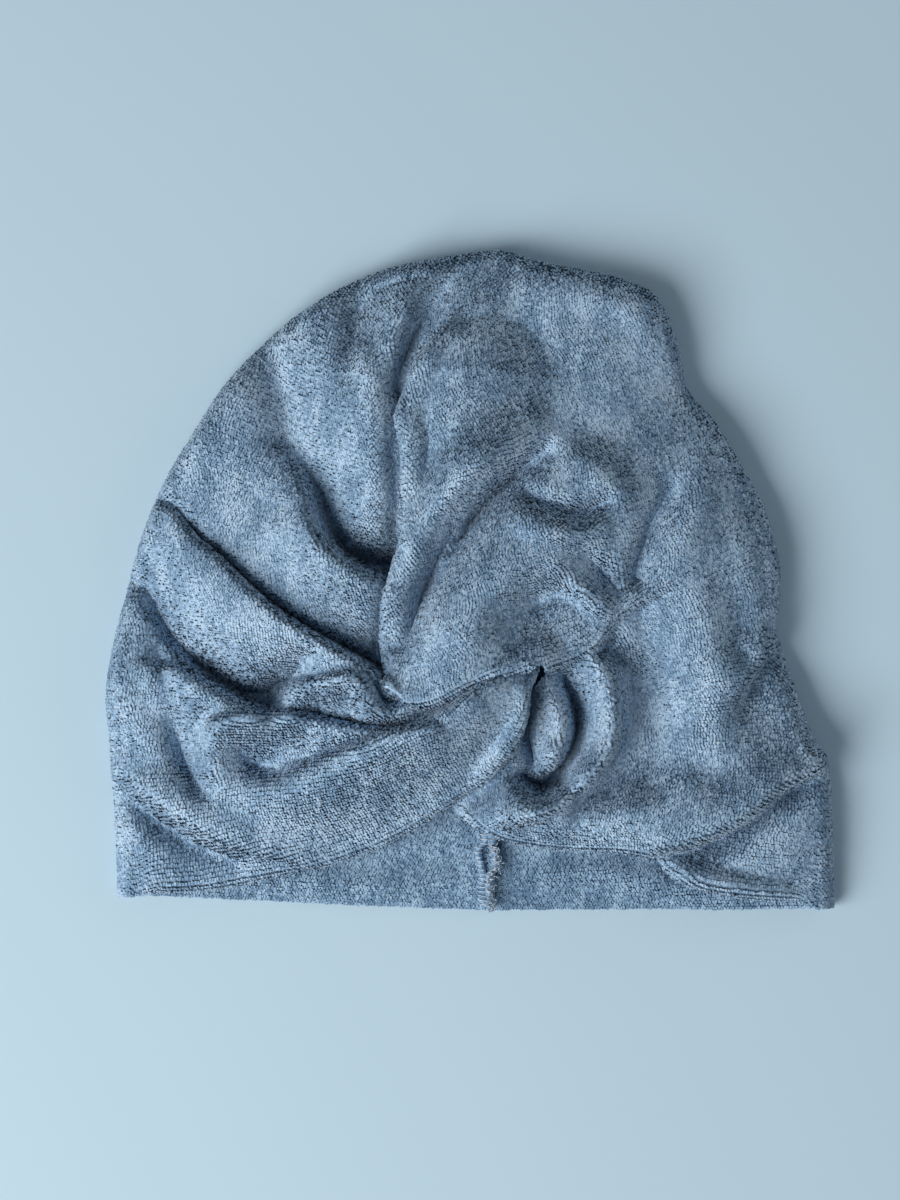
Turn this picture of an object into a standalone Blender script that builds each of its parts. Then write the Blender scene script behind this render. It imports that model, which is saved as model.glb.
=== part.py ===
"""A twist-front turban cap of terry velour, lying flat on its back.

+X runs across the brim, +Y from the brim to the crown, and +Z up from the table. The origin is on the
table, under the middle of the cap. Each wrap is one sheet: a front, whose height over the table comes from
a plain form and a table of folds, and a round side fold that turns under to meet a flat half of the back.
Tables hold shares: across and widths of BRIM_WIDTH, along of CAP_LENGTH, and rises of LOFT.
"""
import math
from typing import NamedTuple

import bmesh
import bpy
import numpy as np

# Driving dimensions, in metres
BRIM_WIDTH = 0.260
CAP_LENGTH = 0.240
LOFT = 0.042
CLOTH = 0.0022
SLANTED_CLOTH = 1.3
GAP = 0.0003
SEAM_HALF_GAP = 0.0005
BACK_GAP = 0.0008
LAYER_CLEARANCE = 0.0016
SIDE_FOLD_REACH = 0.0055
CROWN_TURN_RUN = 0.022
HEM_RADIUS = 0.0028
TUCK_RUN = 0.0055
CROSSING_RUN = 0.014
BESIDE_RUN = 0.0165
SEAM_WIDTH = 0.0050
SEAM_HEIGHT = 0.0028
SEAM_EYE_LENGTH = 0.0095
SEAM_EYE_WIDTH = 0.0022
SEAM_EYE_FROM_BRIM = 0.0152
SEAM_CORE = 0.0004

# Mesh density
SIDE_ROWS = 40
OVER_ROWS = 22
UNDER_ROWS = 19
FRONT_COLUMNS = 26
ROLL_STEPS = 5
BACK_COLUMNS = 3
HEM_STEPS = 3
TUCK_STEPS = 3
SEAM_ROWS = 26
KNOT_BUNCHING = 1.25
KNOT_FAN = 0.8
CURVE_SAMPLES = 400
FOLD_SAMPLES = 24
SAME_POINT = 0.00002

# The plain form of the front, as shares of LOFT unless a distance
RIM_LEFT = 0.22
RIM_RIGHT = 0.27
RIM_BLEND = 0.3
PLATEAU = 0.17
PLATEAU_RUN = 0.022
BRIM_DROP = 0.40
BRIM_DROP_RUN = 0.020
KNOT = (0.05, -0.165)
KNOT_SPREAD = 0.24
KNOT_SWELL = 0.08
OVER_SWELL = 0.32
SEAM_EASE = 0.012
SEAM_GROOVE = 0.0006

# A free edge: how much of half a turn it makes, and how many hem radii the turn takes to start
EDGE_TURN = 0.55
EDGE_START = 8

# Plan curves, each point as its share across and along
CROWN = (0.041, 0.499)
CROWN_SEAM_END = (-0.013, 0.411)
BACK_SEAM_TOP = (0.031, 0.368)
BACK_SEAM_END = (0.023, -0.499)
LEFT_SIDE = [(-0.043, 0.487), (-0.141, 0.461), (-0.239, 0.402), (-0.331, 0.310), (-0.394, 0.208),
             (-0.432, 0.136), (-0.481, -0.026), (-0.508, -0.174), (-0.501, -0.289), (-0.492, -0.476)]
RIGHT_SIDE_UPPER = [(0.105, 0.479), (0.189, 0.461), (0.245, 0.440), (0.282, 0.376), (0.300, 0.295),
                    (0.339, 0.240), (0.381, 0.163), (0.415, 0.087)]
RIGHT_SIDE_LOWER = [(0.430, -0.006), (0.424, -0.072), (0.447, -0.151), (0.474, -0.232), (0.496, -0.273),
                    (0.503, -0.350), (0.508, -0.495)]
LEFT_HIDDEN = [(-0.034, 0.386), (-0.052, 0.362), (-0.058, 0.330), (-0.050, 0.270), (-0.040, 0.180),
               (-0.040, 0.032), (-0.029, -0.090), (0.041, -0.113), (0.093, -0.118)]
LEFT_BRIM = [(0.085, -0.166), (0.063, -0.240), (0.020, -0.301), (-0.029, -0.339), (-0.099, -0.388),
             (-0.197, -0.427), (-0.369, -0.467)]
RIGHT_EDGE = [(-0.018, 0.393), (-0.034, 0.368), (-0.078, 0.299), (-0.095, 0.215), (-0.093, 0.131),
              (-0.114, 0.009), (-0.124, -0.082), (-0.123, -0.154), (-0.114, -0.186)]
OVER_EDGE_FREE = [(-0.064, -0.192), (0.004, -0.157), (0.060, -0.134), (0.109, -0.121)]
OVER_EDGE_TUCKED = [(0.168, -0.092), (0.196, -0.047), (0.266, -0.002), (0.343, 0.038)]
RIGHT_HIDDEN = [(0.098, -0.166), (0.041, -0.220), (-0.022, -0.281), (-0.057, -0.324)]
RIGHT_BRIM = [(-0.012, -0.357), (0.041, -0.392), (0.126, -0.408), (0.217, -0.408), (0.294, -0.450),
              (0.379, -0.475)]


class Fold(NamedTuple):
    """A ridge, or a valley where the rises are negative, along a bow from start through middle to end.

    Its height falls away over one width on the left of that way and over another on its right.
    """
    name: str
    start: tuple
    middle: tuple
    end: tuple
    rises: tuple
    left: float
    right: float


LEFT_FOLDS = [
    Fold("side pleat", (-0.436, 0.150), (-0.295, -0.010), (-0.126, -0.164), (0.12, 0.32, 0.28), 0.026, 0.056),
    Fold("pleat valley", (-0.384, 0.146), (-0.244, -0.004), (-0.120, -0.101), (-0.06, -0.18, -0.20), 0.036, 0.028),
    Fold("crown ridge", (-0.324, 0.215), (-0.229, 0.053), (-0.140, -0.050), (0.06, 0.14, 0.12), 0.040, 0.038),
    Fold("pocket", (-0.223, 0.182), (-0.180, 0.060), (-0.110, 0.020), (-0.02, -0.22, -0.26), 0.042, 0.020),
    Fold("cheek valley", (-0.464, 0.032), (-0.405, -0.098), (-0.293, -0.198), (-0.06, -0.18, -0.22), 0.024, 0.034),
    Fold("inner pleat", (-0.331, -0.195), (-0.225, -0.196), (-0.081, -0.218), (0.04, 0.14, 0.10), 0.018, 0.034),
    Fold("knot lump", (-0.239, -0.189), (-0.209, -0.157), (-0.161, -0.173), (0.10, 0.14, 0.10), 0.020, 0.020),
    Fold("band crest", (-0.338, -0.334), (-0.127, -0.319), (0.048, -0.197), (0.12, 0.26, 0.20), 0.040, 0.048),
    Fold("band valley", (-0.293, -0.286), (-0.176, -0.256), (-0.052, -0.183), (-0.10, -0.12, -0.06), 0.018, 0.018),
    Fold("corner ridge", (-0.481, -0.240), (-0.394, -0.347), (-0.239, -0.398), (0.08, 0.10, 0.06), 0.030, 0.018),
    Fold("crescent", (-0.012, 0.487), (-0.120, 0.429), (-0.144, 0.319), (0.04, 0.14, 0.10), 0.020, 0.031),
    Fold("crescent dent", (-0.082, 0.411), (-0.100, 0.343), (-0.120, 0.262), (-0.10, -0.18, -0.12), 0.020, 0.020),
    Fold("crown swell", (-0.239, 0.383), (-0.197, 0.276), (-0.120, 0.154), (0.06, 0.08, 0.06), 0.056, 0.070),
    Fold("crown slope", (-0.359, 0.276), (-0.310, 0.185), (-0.268, 0.093), (-0.05, -0.06, -0.05), 0.049, 0.049),
]
OVER_FOLDS = [
    Fold("edge ridge", (-0.057, 0.340), (-0.102, 0.124), (-0.110, -0.121), (0.06, 0.16, 0.16), 0.048, 0.042),
    Fold("lower lobe", (-0.096, -0.151), (0.013, -0.044), (0.210, 0.055), (0.18, 0.26, 0.16), 0.048, 0.066),
    Fold("groove", (-0.102, -0.090), (-0.026, 0.034), (0.140, 0.173), (-0.06, -0.18, -0.12), 0.026, 0.022),
    Fold("crown lobe", (-0.043, 0.246), (0.070, 0.276), (0.238, 0.276), (0.08, 0.12, 0.06), 0.070, 0.070),
    Fold("lobe dent", (0.161, 0.047), (0.199, -0.006), (0.224, -0.029), (-0.10, -0.14, -0.08), 0.024, 0.024),
    Fold("side valley", (0.283, 0.139), (0.259, 0.063), (0.238, -0.014), (-0.06, -0.10, -0.06), 0.024, 0.024),
]
UNDER_FOLDS = [
    Fold("outer loop", (0.168, -0.098), (0.200, -0.205), (0.094, -0.334), (0.12, 0.24, 0.16), 0.018, 0.026),
    Fold("inner loop", (0.120, -0.150), (0.126, -0.215), (0.105, -0.300), (0.08, 0.18, 0.10), 0.018, 0.018),
    Fold("loop valley", (0.155, -0.192), (0.150, -0.258), (0.115, -0.309), (-0.10, -0.14, -0.10), 0.016, 0.016),
    Fold("knot pocket", (0.085, -0.200), (0.080, -0.258), (0.090, -0.310), (-0.16, -0.18, -0.12), 0.018, 0.018),
    Fold("loop shadow", (0.229, -0.121), (0.242, -0.243), (0.178, -0.354), (-0.10, -0.14, -0.10), 0.026, 0.020),
    Fold("side ridge", (0.283, 0.063), (0.308, -0.090), (0.329, -0.235), (0.06, 0.08, 0.06), 0.035, 0.035),
    Fold("side pleat", (0.426, -0.069), (0.386, -0.144), (0.329, -0.210), (0.16, 0.16, 0.04), 0.020, 0.048),
    Fold("brim pleat", (0.502, -0.255), (0.371, -0.345), (0.238, -0.395), (0.14, 0.20, 0.10), 0.020, 0.048),
    Fold("brim ridge", (0.238, -0.424), (0.322, -0.460), (0.463, -0.487), (0.06, 0.08, 0.03), 0.018, 0.018),
    Fold("cheek bulge", (0.322, 0.169), (0.400, 0.093), (0.414, -0.014), (0.06, 0.10, 0.08), 0.056, 0.056),
]

SIZE = np.array((BRIM_WIDTH, CAP_LENGTH))


def plan(shares):
    """Plan points in metres, from shares across and along."""
    return np.array(shares, float) * SIZE


def lengths_along(points):
    """Distance of each point from the first, measured along the line through them all."""
    steps = np.linalg.norm(np.diff(points, axis=0), axis=1)
    return np.concatenate(([0.0], np.cumsum(steps)))


def smooth_line(points):
    """Dense points on a Catmull-Rom curve through plan points."""
    points = np.asarray(points)
    ends = (2 * points[0] - points[1], 2 * points[-1] - points[-2])
    knots = np.vstack((ends[0], points, ends[1]))
    per_span = max(2, CURVE_SAMPLES // (len(points) - 1))
    t = np.linspace(0, 1, per_span, endpoint=False)[:, None]
    spans = []
    for a, b, c, d in zip(knots, knots[1:], knots[2:], knots[3:]):
        spans.append(b + 0.5 * t * (c - a + t * (2 * a - 5 * b + 4 * c - d + t * (3 * (b - c) + d - a))))
    return np.vstack(spans + [points[-1:]])


def at_lengths(line, wanted):
    """Points of a line at the wanted distances along it."""
    along = lengths_along(line)
    return np.stack([np.interp(wanted, along, line[:, axis]) for axis in range(2)], axis=1)


def spaced_points(points, count, bunching=1.0):
    """Points on the smooth curve through plan points, closer at its start where bunching is over 1."""
    line = smooth_line(points)
    return at_lengths(line, lengths_along(line)[-1] * np.linspace(0, 1, count) ** bunching)


def fanned_points(points, count):
    """Points on the smooth curve, closer at its end, so that rows fan out from the knot as the folds do."""
    line = smooth_line(points)
    share = np.linspace(0, 1, count)
    fanned = share + KNOT_FAN * share ** 2 * (1 - share)
    return at_lengths(line, lengths_along(line)[-1] * fanned)


def from_ends(points):
    """Distance of each point along the line from the nearer of its two ends."""
    along = lengths_along(points)
    return np.minimum(along, along[-1] - along)


def inset_edge(points, turns, hand):
    """A free edge moved in by the reach of its turn; hand is 1 where the cloth lies on its left."""
    way = np.gradient(points, axis=0)
    inward = np.stack((-way[:, 1], way[:, 0]), axis=1) * hand
    inward /= np.linalg.norm(inward, axis=1)[:, None]
    reach = HEM_RADIUS * np.sin(np.minimum(turns, 0.5) * math.pi) + CLOTH / 2 * np.minimum(2 * turns, 1)
    return points + inward * reach[:, None]


def smooth_step(value):
    """0 to 1 with level ends, as value goes from 0 to 1."""
    value = np.clip(value, 0.0, 1.0)
    return value * value * (3 - 2 * value)


def distance_to(points, line):
    """Distance of each point to the nearest sample of a line."""
    flat = points.reshape(-1, 2)
    nearest = np.full(len(flat), np.inf)
    for sample in line:
        np.minimum(nearest, ((flat - sample) ** 2).sum(axis=1), out=nearest)
    return np.sqrt(nearest).reshape(points.shape[:-1])


def inside(points, polygon):
    """Which points lie in a closed plan outline."""
    result = np.zeros(points.shape[:-1], bool)
    for (x0, y0), (x1, y1) in zip(polygon, np.roll(polygon, -1, axis=0)):
        if y0 == y1:
            continue
        crosses = (y0 > points[..., 1]) != (y1 > points[..., 1])
        result ^= crosses & (points[..., 0] < x0 + (x1 - x0) * (points[..., 1] - y0) / (y1 - y0))
    return result


def fold_height(points, fold):
    """What one fold adds to the height at each plan point."""
    t = np.linspace(0, 1, FOLD_SAMPLES)[:, None]
    start, middle, end = plan(fold.start), plan(fold.middle), plan(fold.end)
    control = 2 * middle - (start + end) / 2
    bow = (1 - t) ** 2 * start + 2 * t * (1 - t) * control + t ** 2 * end
    height = np.zeros(points.shape[:-1])
    nearest = np.full(points.shape[:-1], np.inf)
    for index in range(FOLD_SAMPLES - 1):
        run = bow[index + 1] - bow[index]
        offset = points - bow[index]
        share = np.clip((offset @ run) / (run @ run), 0, 1)
        distance = np.linalg.norm(offset - share[..., None] * run, axis=-1)
        is_left = run[0] * offset[..., 1] - run[1] * offset[..., 0] > 0
        width = np.where(is_left, fold.left, fold.right) * BRIM_WIDTH
        rise = np.interp((index + share) / (FOLD_SAMPLES - 1), (0, 0.5, 1), fold.rises) * LOFT
        closer = distance < nearest
        height = np.where(closer, rise * np.exp(-(distance / width) ** 2), height)
        nearest = np.where(closer, distance, nearest)
    return height


def add_folds(points, folds):
    """What all the folds of a table add to the height at each plan point."""
    return sum(fold_height(points, fold) for fold in folds)


class Side:
    """One side fold in plan: the outermost line of the cloth, and the points where the roll starts."""

    def __init__(self, shares, hand):
        crown = plan(CROWN) + (hand * SEAM_HALF_GAP, 0)
        self.hand = hand
        self.line = smooth_line(np.vstack((crown, plan(shares))))
        self.length = lengths_along(self.line)[-1]

    def rows(self, wanted):
        """Outer points and inward directions at the wanted distances from the crown."""
        outer = at_lengths(self.line, wanted)
        step = self.length / SIDE_ROWS
        ahead = at_lengths(self.line, np.minimum(wanted + step, self.length))
        behind = at_lengths(self.line, np.maximum(wanted - step, 0))
        way = ahead - behind
        inward = np.stack((way[:, 1], -way[:, 0]), axis=1) * self.hand
        inward /= np.linalg.norm(inward, axis=1)[:, None]
        seam_way = plan(CROWN_SEAM_END) - plan(CROWN)
        seam_way /= np.linalg.norm(seam_way)
        blend = smooth_step(wanted / CROWN_TURN_RUN)[:, None]
        inward = blend * inward + (1 - blend) * seam_way
        return outer, inward / np.linalg.norm(inward, axis=1)[:, None]


LEFT_OUTLINE = Side(LEFT_SIDE, -1)
RIGHT_OUTLINE = Side(RIGHT_SIDE_UPPER + RIGHT_SIDE_LOWER, 1)
CROWN_SEAM = np.linspace(plan(CROWN), plan(CROWN_SEAM_END), FOLD_SAMPLES)
WHOLE_OUTLINE = np.vstack((LEFT_OUTLINE.line[::-4], RIGHT_OUTLINE.line[::4]))
LEFT_WRAP = np.vstack((smooth_line(plan([CROWN_SEAM_END] + LEFT_HIDDEN)), plan(LEFT_BRIM), plan(LEFT_SIDE[::-1])))


def base_height(points):
    """The front without its folds: a rim, a plateau inside it, lower towards the brim."""
    inward = distance_to(points, WHOLE_OUTLINE)
    rim = RIM_LEFT + (RIM_RIGHT - RIM_LEFT) * smooth_step(points[..., 0] / (RIM_BLEND * BRIM_WIDTH) + RIM_BLEND)
    height = LOFT * (rim + PLATEAU * (1 - np.exp(-inward / PLATEAU_RUN)))
    from_brim = points[..., 1] + CAP_LENGTH / 2
    return height * (1 - BRIM_DROP * np.exp(-from_brim / BRIM_DROP_RUN))


def knot_height(points, swell):
    """The swell of the cloth round the knot."""
    away = np.linalg.norm(points - plan(KNOT), axis=-1) / (KNOT_SPREAD * BRIM_WIDTH)
    return LOFT * swell * np.exp(-away ** 2)


def wrap_height(points, swell, folds):
    """Height of the middle of a wrap's cloth, the same for both wraps along the crown seam."""
    from_seam = distance_to(points, CROWN_SEAM) / SEAM_EASE
    own = knot_height(points, swell) + add_folds(points, folds)
    return base_height(points) + smooth_step(from_seam) * own - SEAM_GROOVE * np.exp(-4 * from_seam ** 2)


def left_height(points):
    """Height of the left wrap."""
    return wrap_height(points, KNOT_SWELL, LEFT_FOLDS)


def over_left(points):
    """1 where the left wrap lies, easing to 0 beside it."""
    beside = distance_to(points, LEFT_WRAP[::3]) / BESIDE_RUN
    return np.where(inside(points, LEFT_WRAP), 1.0, smooth_step(1 - beside))


def layer_step(points):
    """Height between the middles of two crossing layers: cloth, a free edge's turn and a clearance."""
    from_seam = np.linalg.norm(points - plan(CROWN_SEAM_END), axis=-1)
    turn = edge_turn(from_seam) * math.pi
    drop = HEM_RADIUS * (1 - np.cos(turn))
    rise = smooth_step(from_seam / CROSSING_RUN)
    return rise * (SLANTED_CLOTH * CLOTH + drop + LAYER_CLEARANCE)


def over_height(points):
    """Height of the upper right wrap, lifted clear of the left wrap that it crosses."""
    own = wrap_height(points, OVER_SWELL, OVER_FOLDS)
    lifted = np.maximum(own, left_height(points) + layer_step(points))
    return own + (lifted - own) * over_left(points)


def under_height(points):
    """Height of the lower right wrap, kept clear under the left band."""
    own = wrap_height(points, 0.0, UNDER_FOLDS)
    kept = np.minimum(own, left_height(points) - layer_step(points))
    return own + (kept - own) * over_left(points)


def edge_turn(from_end):
    """Share of half a turn that a free edge makes, by the distance from where the turn starts."""
    return EDGE_TURN * smooth_step(from_end / (EDGE_START * HEM_RADIUS))


def patch(top, right, bottom, left):
    """Plan grid between four boundary curves, whose corners meet.

    Rows run straight from left to right, plus the bow of the top and bottom curves, which fades inward.
    """
    s = np.linspace(0, 1, len(top))[None, :, None]
    t = np.linspace(0, 1, len(left))[:, None, None]
    across = (1 - s) * left[:, None] + s * right[:, None]
    top_bow = top[None] - (1 - s) * top[0] - s * top[-1]
    bottom_bow = bottom[None] - (1 - s) * bottom[0] - s * bottom[-1]
    return across + (1 - t) ** 2 * top_bow + t ** 2 * bottom_bow


def raised(points, height):
    """Plan points with their heights."""
    return np.concatenate((points, np.broadcast_to(height, points.shape[:-1])[..., None]), axis=-1)


def side_roll(outer, inward, upper):
    """Half turns of cloth from the front's outer column round to the back, a row for each row."""
    bottom = CLOTH / 2
    angles = np.linspace(0, math.pi, ROLL_STEPS + 1)
    reach = SIDE_FOLD_REACH - CLOTH / 2
    out = upper[:, None, :2] - inward[:, None] * (reach * np.sin(angles))[None, :, None]
    half = (upper[:, None, 2] - bottom) / 2
    height = bottom + half * (1 + np.cos(angles))[None]
    return np.concatenate((out, height[..., None]), axis=-1)


def hem(edge, inner, turns):
    """A free edge's roll: an arc from each edge point, down and under, away from the inner points."""
    run = edge[:, :2] - inner[:, :2]
    length = np.linalg.norm(run, axis=1)
    out = run / length[:, None]
    start = np.arctan2(inner[:, 2] - edge[:, 2], length)
    share = np.linspace(0, 1, HEM_STEPS + 1)[:, None]
    angles = start + share * turns * math.pi
    reach = HEM_RADIUS * (np.sin(angles) - np.sin(start))
    drop = HEM_RADIUS * (np.cos(start) - np.cos(angles))
    flat = edge[None, :, :2] + out[None] * reach[..., None]
    return np.concatenate((flat, (edge[None, :, 2] - drop)[..., None]), axis=-1)


def back_half(outline, wanted):
    """Grid of one flat half of the back, from beside the end of the side roll to the centre seam."""
    outer, inward = outline.rows(wanted)
    inner_edge = outer + inward * (SIDE_FOLD_REACH + BACK_GAP)
    shift = (outline.hand * SEAM_HALF_GAP, 0)
    seam_top = plan(BACK_SEAM_TOP) + shift
    seam_end = plan(BACK_SEAM_END) + shift
    seam = np.linspace(seam_top, seam_end, len(inner_edge))
    top = np.linspace(inner_edge[0], seam_top, BACK_COLUMNS)
    bottom = np.linspace(inner_edge[-1], seam_end, BACK_COLUMNS)
    return raised(patch(top, seam, bottom, inner_edge), CLOTH / 2)


def left_rows():
    """Distances from the crown of the left side's rows."""
    return np.linspace(0, LEFT_OUTLINE.length, SIDE_ROWS)


def right_rows():
    """Distances from the crown of the right side's rows: over the left wrap, down the tuck, and below it."""
    upper_line = smooth_line(np.vstack((plan(CROWN) + (SEAM_HALF_GAP, 0), plan(RIGHT_SIDE_UPPER))))
    tuck_from = lengths_along(upper_line)[-1]
    tuck_to = tuck_from + TUCK_RUN
    over_rows = np.linspace(0, tuck_from, OVER_ROWS)
    tuck_rows = np.linspace(tuck_from, tuck_to, TUCK_STEPS + 1)
    under_rows = np.linspace(tuck_to, RIGHT_OUTLINE.length, UNDER_ROWS)
    return np.concatenate((over_rows, tuck_rows[1:], under_rows[1:]))


def left_wrap():
    """Grids of the left wrap: front, side roll and brim hem."""
    outer, inward = LEFT_OUTLINE.rows(left_rows())
    start = outer + inward * SIDE_FOLD_REACH
    seam_end = plan(CROWN_SEAM_END) - (SEAM_HALF_GAP, 0)
    seam = np.linspace(seam_end, start[0], FRONT_COLUMNS)
    hidden = fanned_points(np.vstack((seam_end, plan(LEFT_HIDDEN))), SIDE_ROWS)
    brim = spaced_points(np.vstack((hidden[-1], plan(LEFT_BRIM), start[-1])), FRONT_COLUMNS, KNOT_BUNCHING)
    turns = edge_turn(from_ends(brim))
    brim = inset_edge(brim, turns, -1)
    grid = patch(seam, start, brim, hidden)
    front = raised(grid, left_height(grid))
    roll = side_roll(outer, inward, front[:, -1])
    return [front, roll, hem(front[-1], front[-2], turns)]


def right_wrap():
    """Grids of the right wrap: over the left wrap, down beside its tip, and out under its band."""
    outer, inward = RIGHT_OUTLINE.rows(right_rows())
    start = outer + inward * SIDE_FOLD_REACH
    seam_end = plan(CROWN_SEAM_END) + (SEAM_HALF_GAP, 0)
    seam = np.linspace(seam_end, start[0], FRONT_COLUMNS)
    left_edge = spaced_points(np.vstack((seam_end, plan(RIGHT_EDGE))), OVER_ROWS)
    free_columns = FRONT_COLUMNS // 3
    free = spaced_points(np.vstack((left_edge[-1], plan(OVER_EDGE_FREE))), free_columns)
    left_turns = edge_turn(lengths_along(left_edge))
    free_turns = edge_turn(lengths_along(free)[-1] - lengths_along(free))
    left_inset = inset_edge(left_edge, left_turns, 1)
    free_inset = inset_edge(free, free_turns, 1)
    corner_point = left_inset[-1] + free_inset[0] - free[0]
    left_edge = np.vstack((left_inset[:-1], corner_point))
    free = np.vstack((corner_point, free_inset[1:]))
    last_over = OVER_ROWS - 1
    tucked = spaced_points(np.vstack((free[-1], plan(OVER_EDGE_TUCKED), start[last_over])),
                           FRONT_COLUMNS - free_columns + 1)
    over_edge = np.vstack((free, tucked[1:]))
    over_grid = patch(seam, start[:OVER_ROWS], over_edge, left_edge)
    over = raised(over_grid, over_height(over_grid))

    way = np.gradient(tucked, axis=0)
    down = np.stack((way[:, 1], -way[:, 0]), axis=1)
    down /= np.linalg.norm(down, axis=1)[:, None]
    first_under = last_over + TUCK_STEPS
    foot = tucked + down * TUCK_RUN
    foot[-1] = start[first_under]
    hidden = spaced_points(np.vstack((foot[0], plan(RIGHT_HIDDEN))), UNDER_ROWS)
    brim = spaced_points(np.vstack((hidden[-1], plan(RIGHT_BRIM), start[-1])), len(tucked), KNOT_BUNCHING)
    brim_turns = edge_turn(from_ends(brim))
    brim = inset_edge(brim, brim_turns, 1)
    under_grid = patch(foot, start[first_under:], brim, hidden)
    under = raised(under_grid, under_height(under_grid))

    share = np.linspace(0, 1, TUCK_STEPS + 1)[:, None, None]
    tuck_plan = (1 - share) * over[-1, free_columns - 1:, :2] + share * under[0, :, :2]
    tuck_plan[:, -1] = start[last_over:first_under + 1]
    fall = smooth_step(share[..., 0])
    tuck_height = (1 - fall) * over[-1, free_columns - 1:, 2] + fall * under[0, :, 2]
    tuck = raised(tuck_plan, tuck_height)

    left_hem = hem(over[:, 0], over[:, 1], left_turns).transpose(1, 0, 2)
    free_hem = hem(over[-1, :free_columns], over[-2, :free_columns], free_turns)
    corner = left_hem[-1][None] + free_hem[:, :1] - over[-1, 0]
    brim_hem = hem(under[-1], under[-2], brim_turns)
    columns = np.vstack((over[:, -1], tuck[1:, -1], under[1:, -1]))
    roll = side_roll(outer, inward, columns)
    return [over, left_hem, free_hem, corner, tuck, under, brim_hem, roll]


def seam_strip():
    """Grids of the overlocked allowance: two lips along the centre seam, parted in an eye near the brim."""
    base = CLOTH + GAP
    seam_top = plan(BACK_SEAM_TOP)
    seam_end = plan(BACK_SEAM_END)
    rows = np.linspace(seam_top, seam_end, SEAM_ROWS)
    from_end = lengths_along(rows)[-1] - lengths_along(rows)
    opening = np.clip(1 - ((from_end - SEAM_EYE_FROM_BRIM) / (SEAM_EYE_LENGTH / 2)) ** 2, 0, 1)
    parted = SEAM_EYE_WIDTH / 2 * np.sqrt(opening)
    narrow = SEAM_CORE / 2
    lip = SEAM_WIDTH / 2 + parted / 2
    across = np.stack((-lip, -np.maximum(parted, narrow), np.maximum(parted, narrow), lip), axis=1)
    grid = rows[:, None] + np.stack((across, np.zeros_like(across)), axis=-1)
    strip = raised(grid, base + SEAM_HEIGHT / 2)
    closed = parted <= narrow
    middle = [strip[start:start + 2, 1:3] for start in range(SEAM_ROWS - 1)
              if closed[start] and closed[start + 1]]
    return [strip[:, :2], strip[:, 2:]] + middle


def material(name, colour, roughness):
    """A Principled material in one colour."""
    shade = bpy.data.materials.new(name)
    shade.use_nodes = True
    shader = shade.node_tree.nodes["Principled BSDF"]
    shader.inputs["Base Color"].default_value = (*colour, 1)
    shader.inputs["Roughness"].default_value = roughness
    shader.inputs["Metallic"].default_value = 0
    shader.inputs["Sheen Weight"].default_value = 0.3
    return shade


def cloth_object(name, grids, thickness, shade, collection):
    """An object of one sheet, joined from grids that meet at shared edges, with its thickness."""
    sheet = bmesh.new()
    for grid in grids:
        rows, columns = grid.shape[:2]
        points = [[sheet.verts.new(point) for point in row] for row in grid]
        for row in range(rows - 1):
            for column in range(columns - 1):
                sheet.faces.new((points[row][column], points[row + 1][column],
                                 points[row + 1][column + 1], points[row][column + 1]))
    bmesh.ops.remove_doubles(sheet, verts=sheet.verts, dist=SAME_POINT)
    bmesh.ops.recalc_face_normals(sheet, faces=sheet.faces)
    mesh = bpy.data.meshes.new(name)
    sheet.to_mesh(mesh)
    sheet.free()
    mesh.materials.append(shade)
    mesh.shade_smooth()
    item = bpy.data.objects.new(name, mesh)
    collection.objects.link(item)
    shell = item.modifiers.new("Cloth", "SOLIDIFY")
    shell.thickness = thickness
    shell.offset = 0
    return item


def main():
    for old in list(bpy.data.objects):
        bpy.data.objects.remove(old, do_unlink=True)
    collection = bpy.data.collections.new("turban_cap")
    bpy.context.scene.collection.children.link(collection)
    terry = material("grey blue terry", (0.19, 0.28, 0.38), 0.95)
    inside_terry = material("grey blue terry, inside", (0.15, 0.23, 0.32), 0.95)
    thread = material("overlock thread", (0.22, 0.31, 0.41), 0.85)
    cloth_object("left_wrap", left_wrap(), CLOTH, terry, collection)
    cloth_object("right_wrap", right_wrap(), CLOTH, terry, collection)
    cloth_object("left_back", [back_half(LEFT_OUTLINE, left_rows())], CLOTH, inside_terry, collection)
    cloth_object("right_back", [back_half(RIGHT_OUTLINE, right_rows())], CLOTH, inside_terry, collection)
    cloth_object("back_seam", seam_strip(), SEAM_HEIGHT, thread, collection)


main()
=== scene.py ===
import math
from typing import NamedTuple

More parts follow.
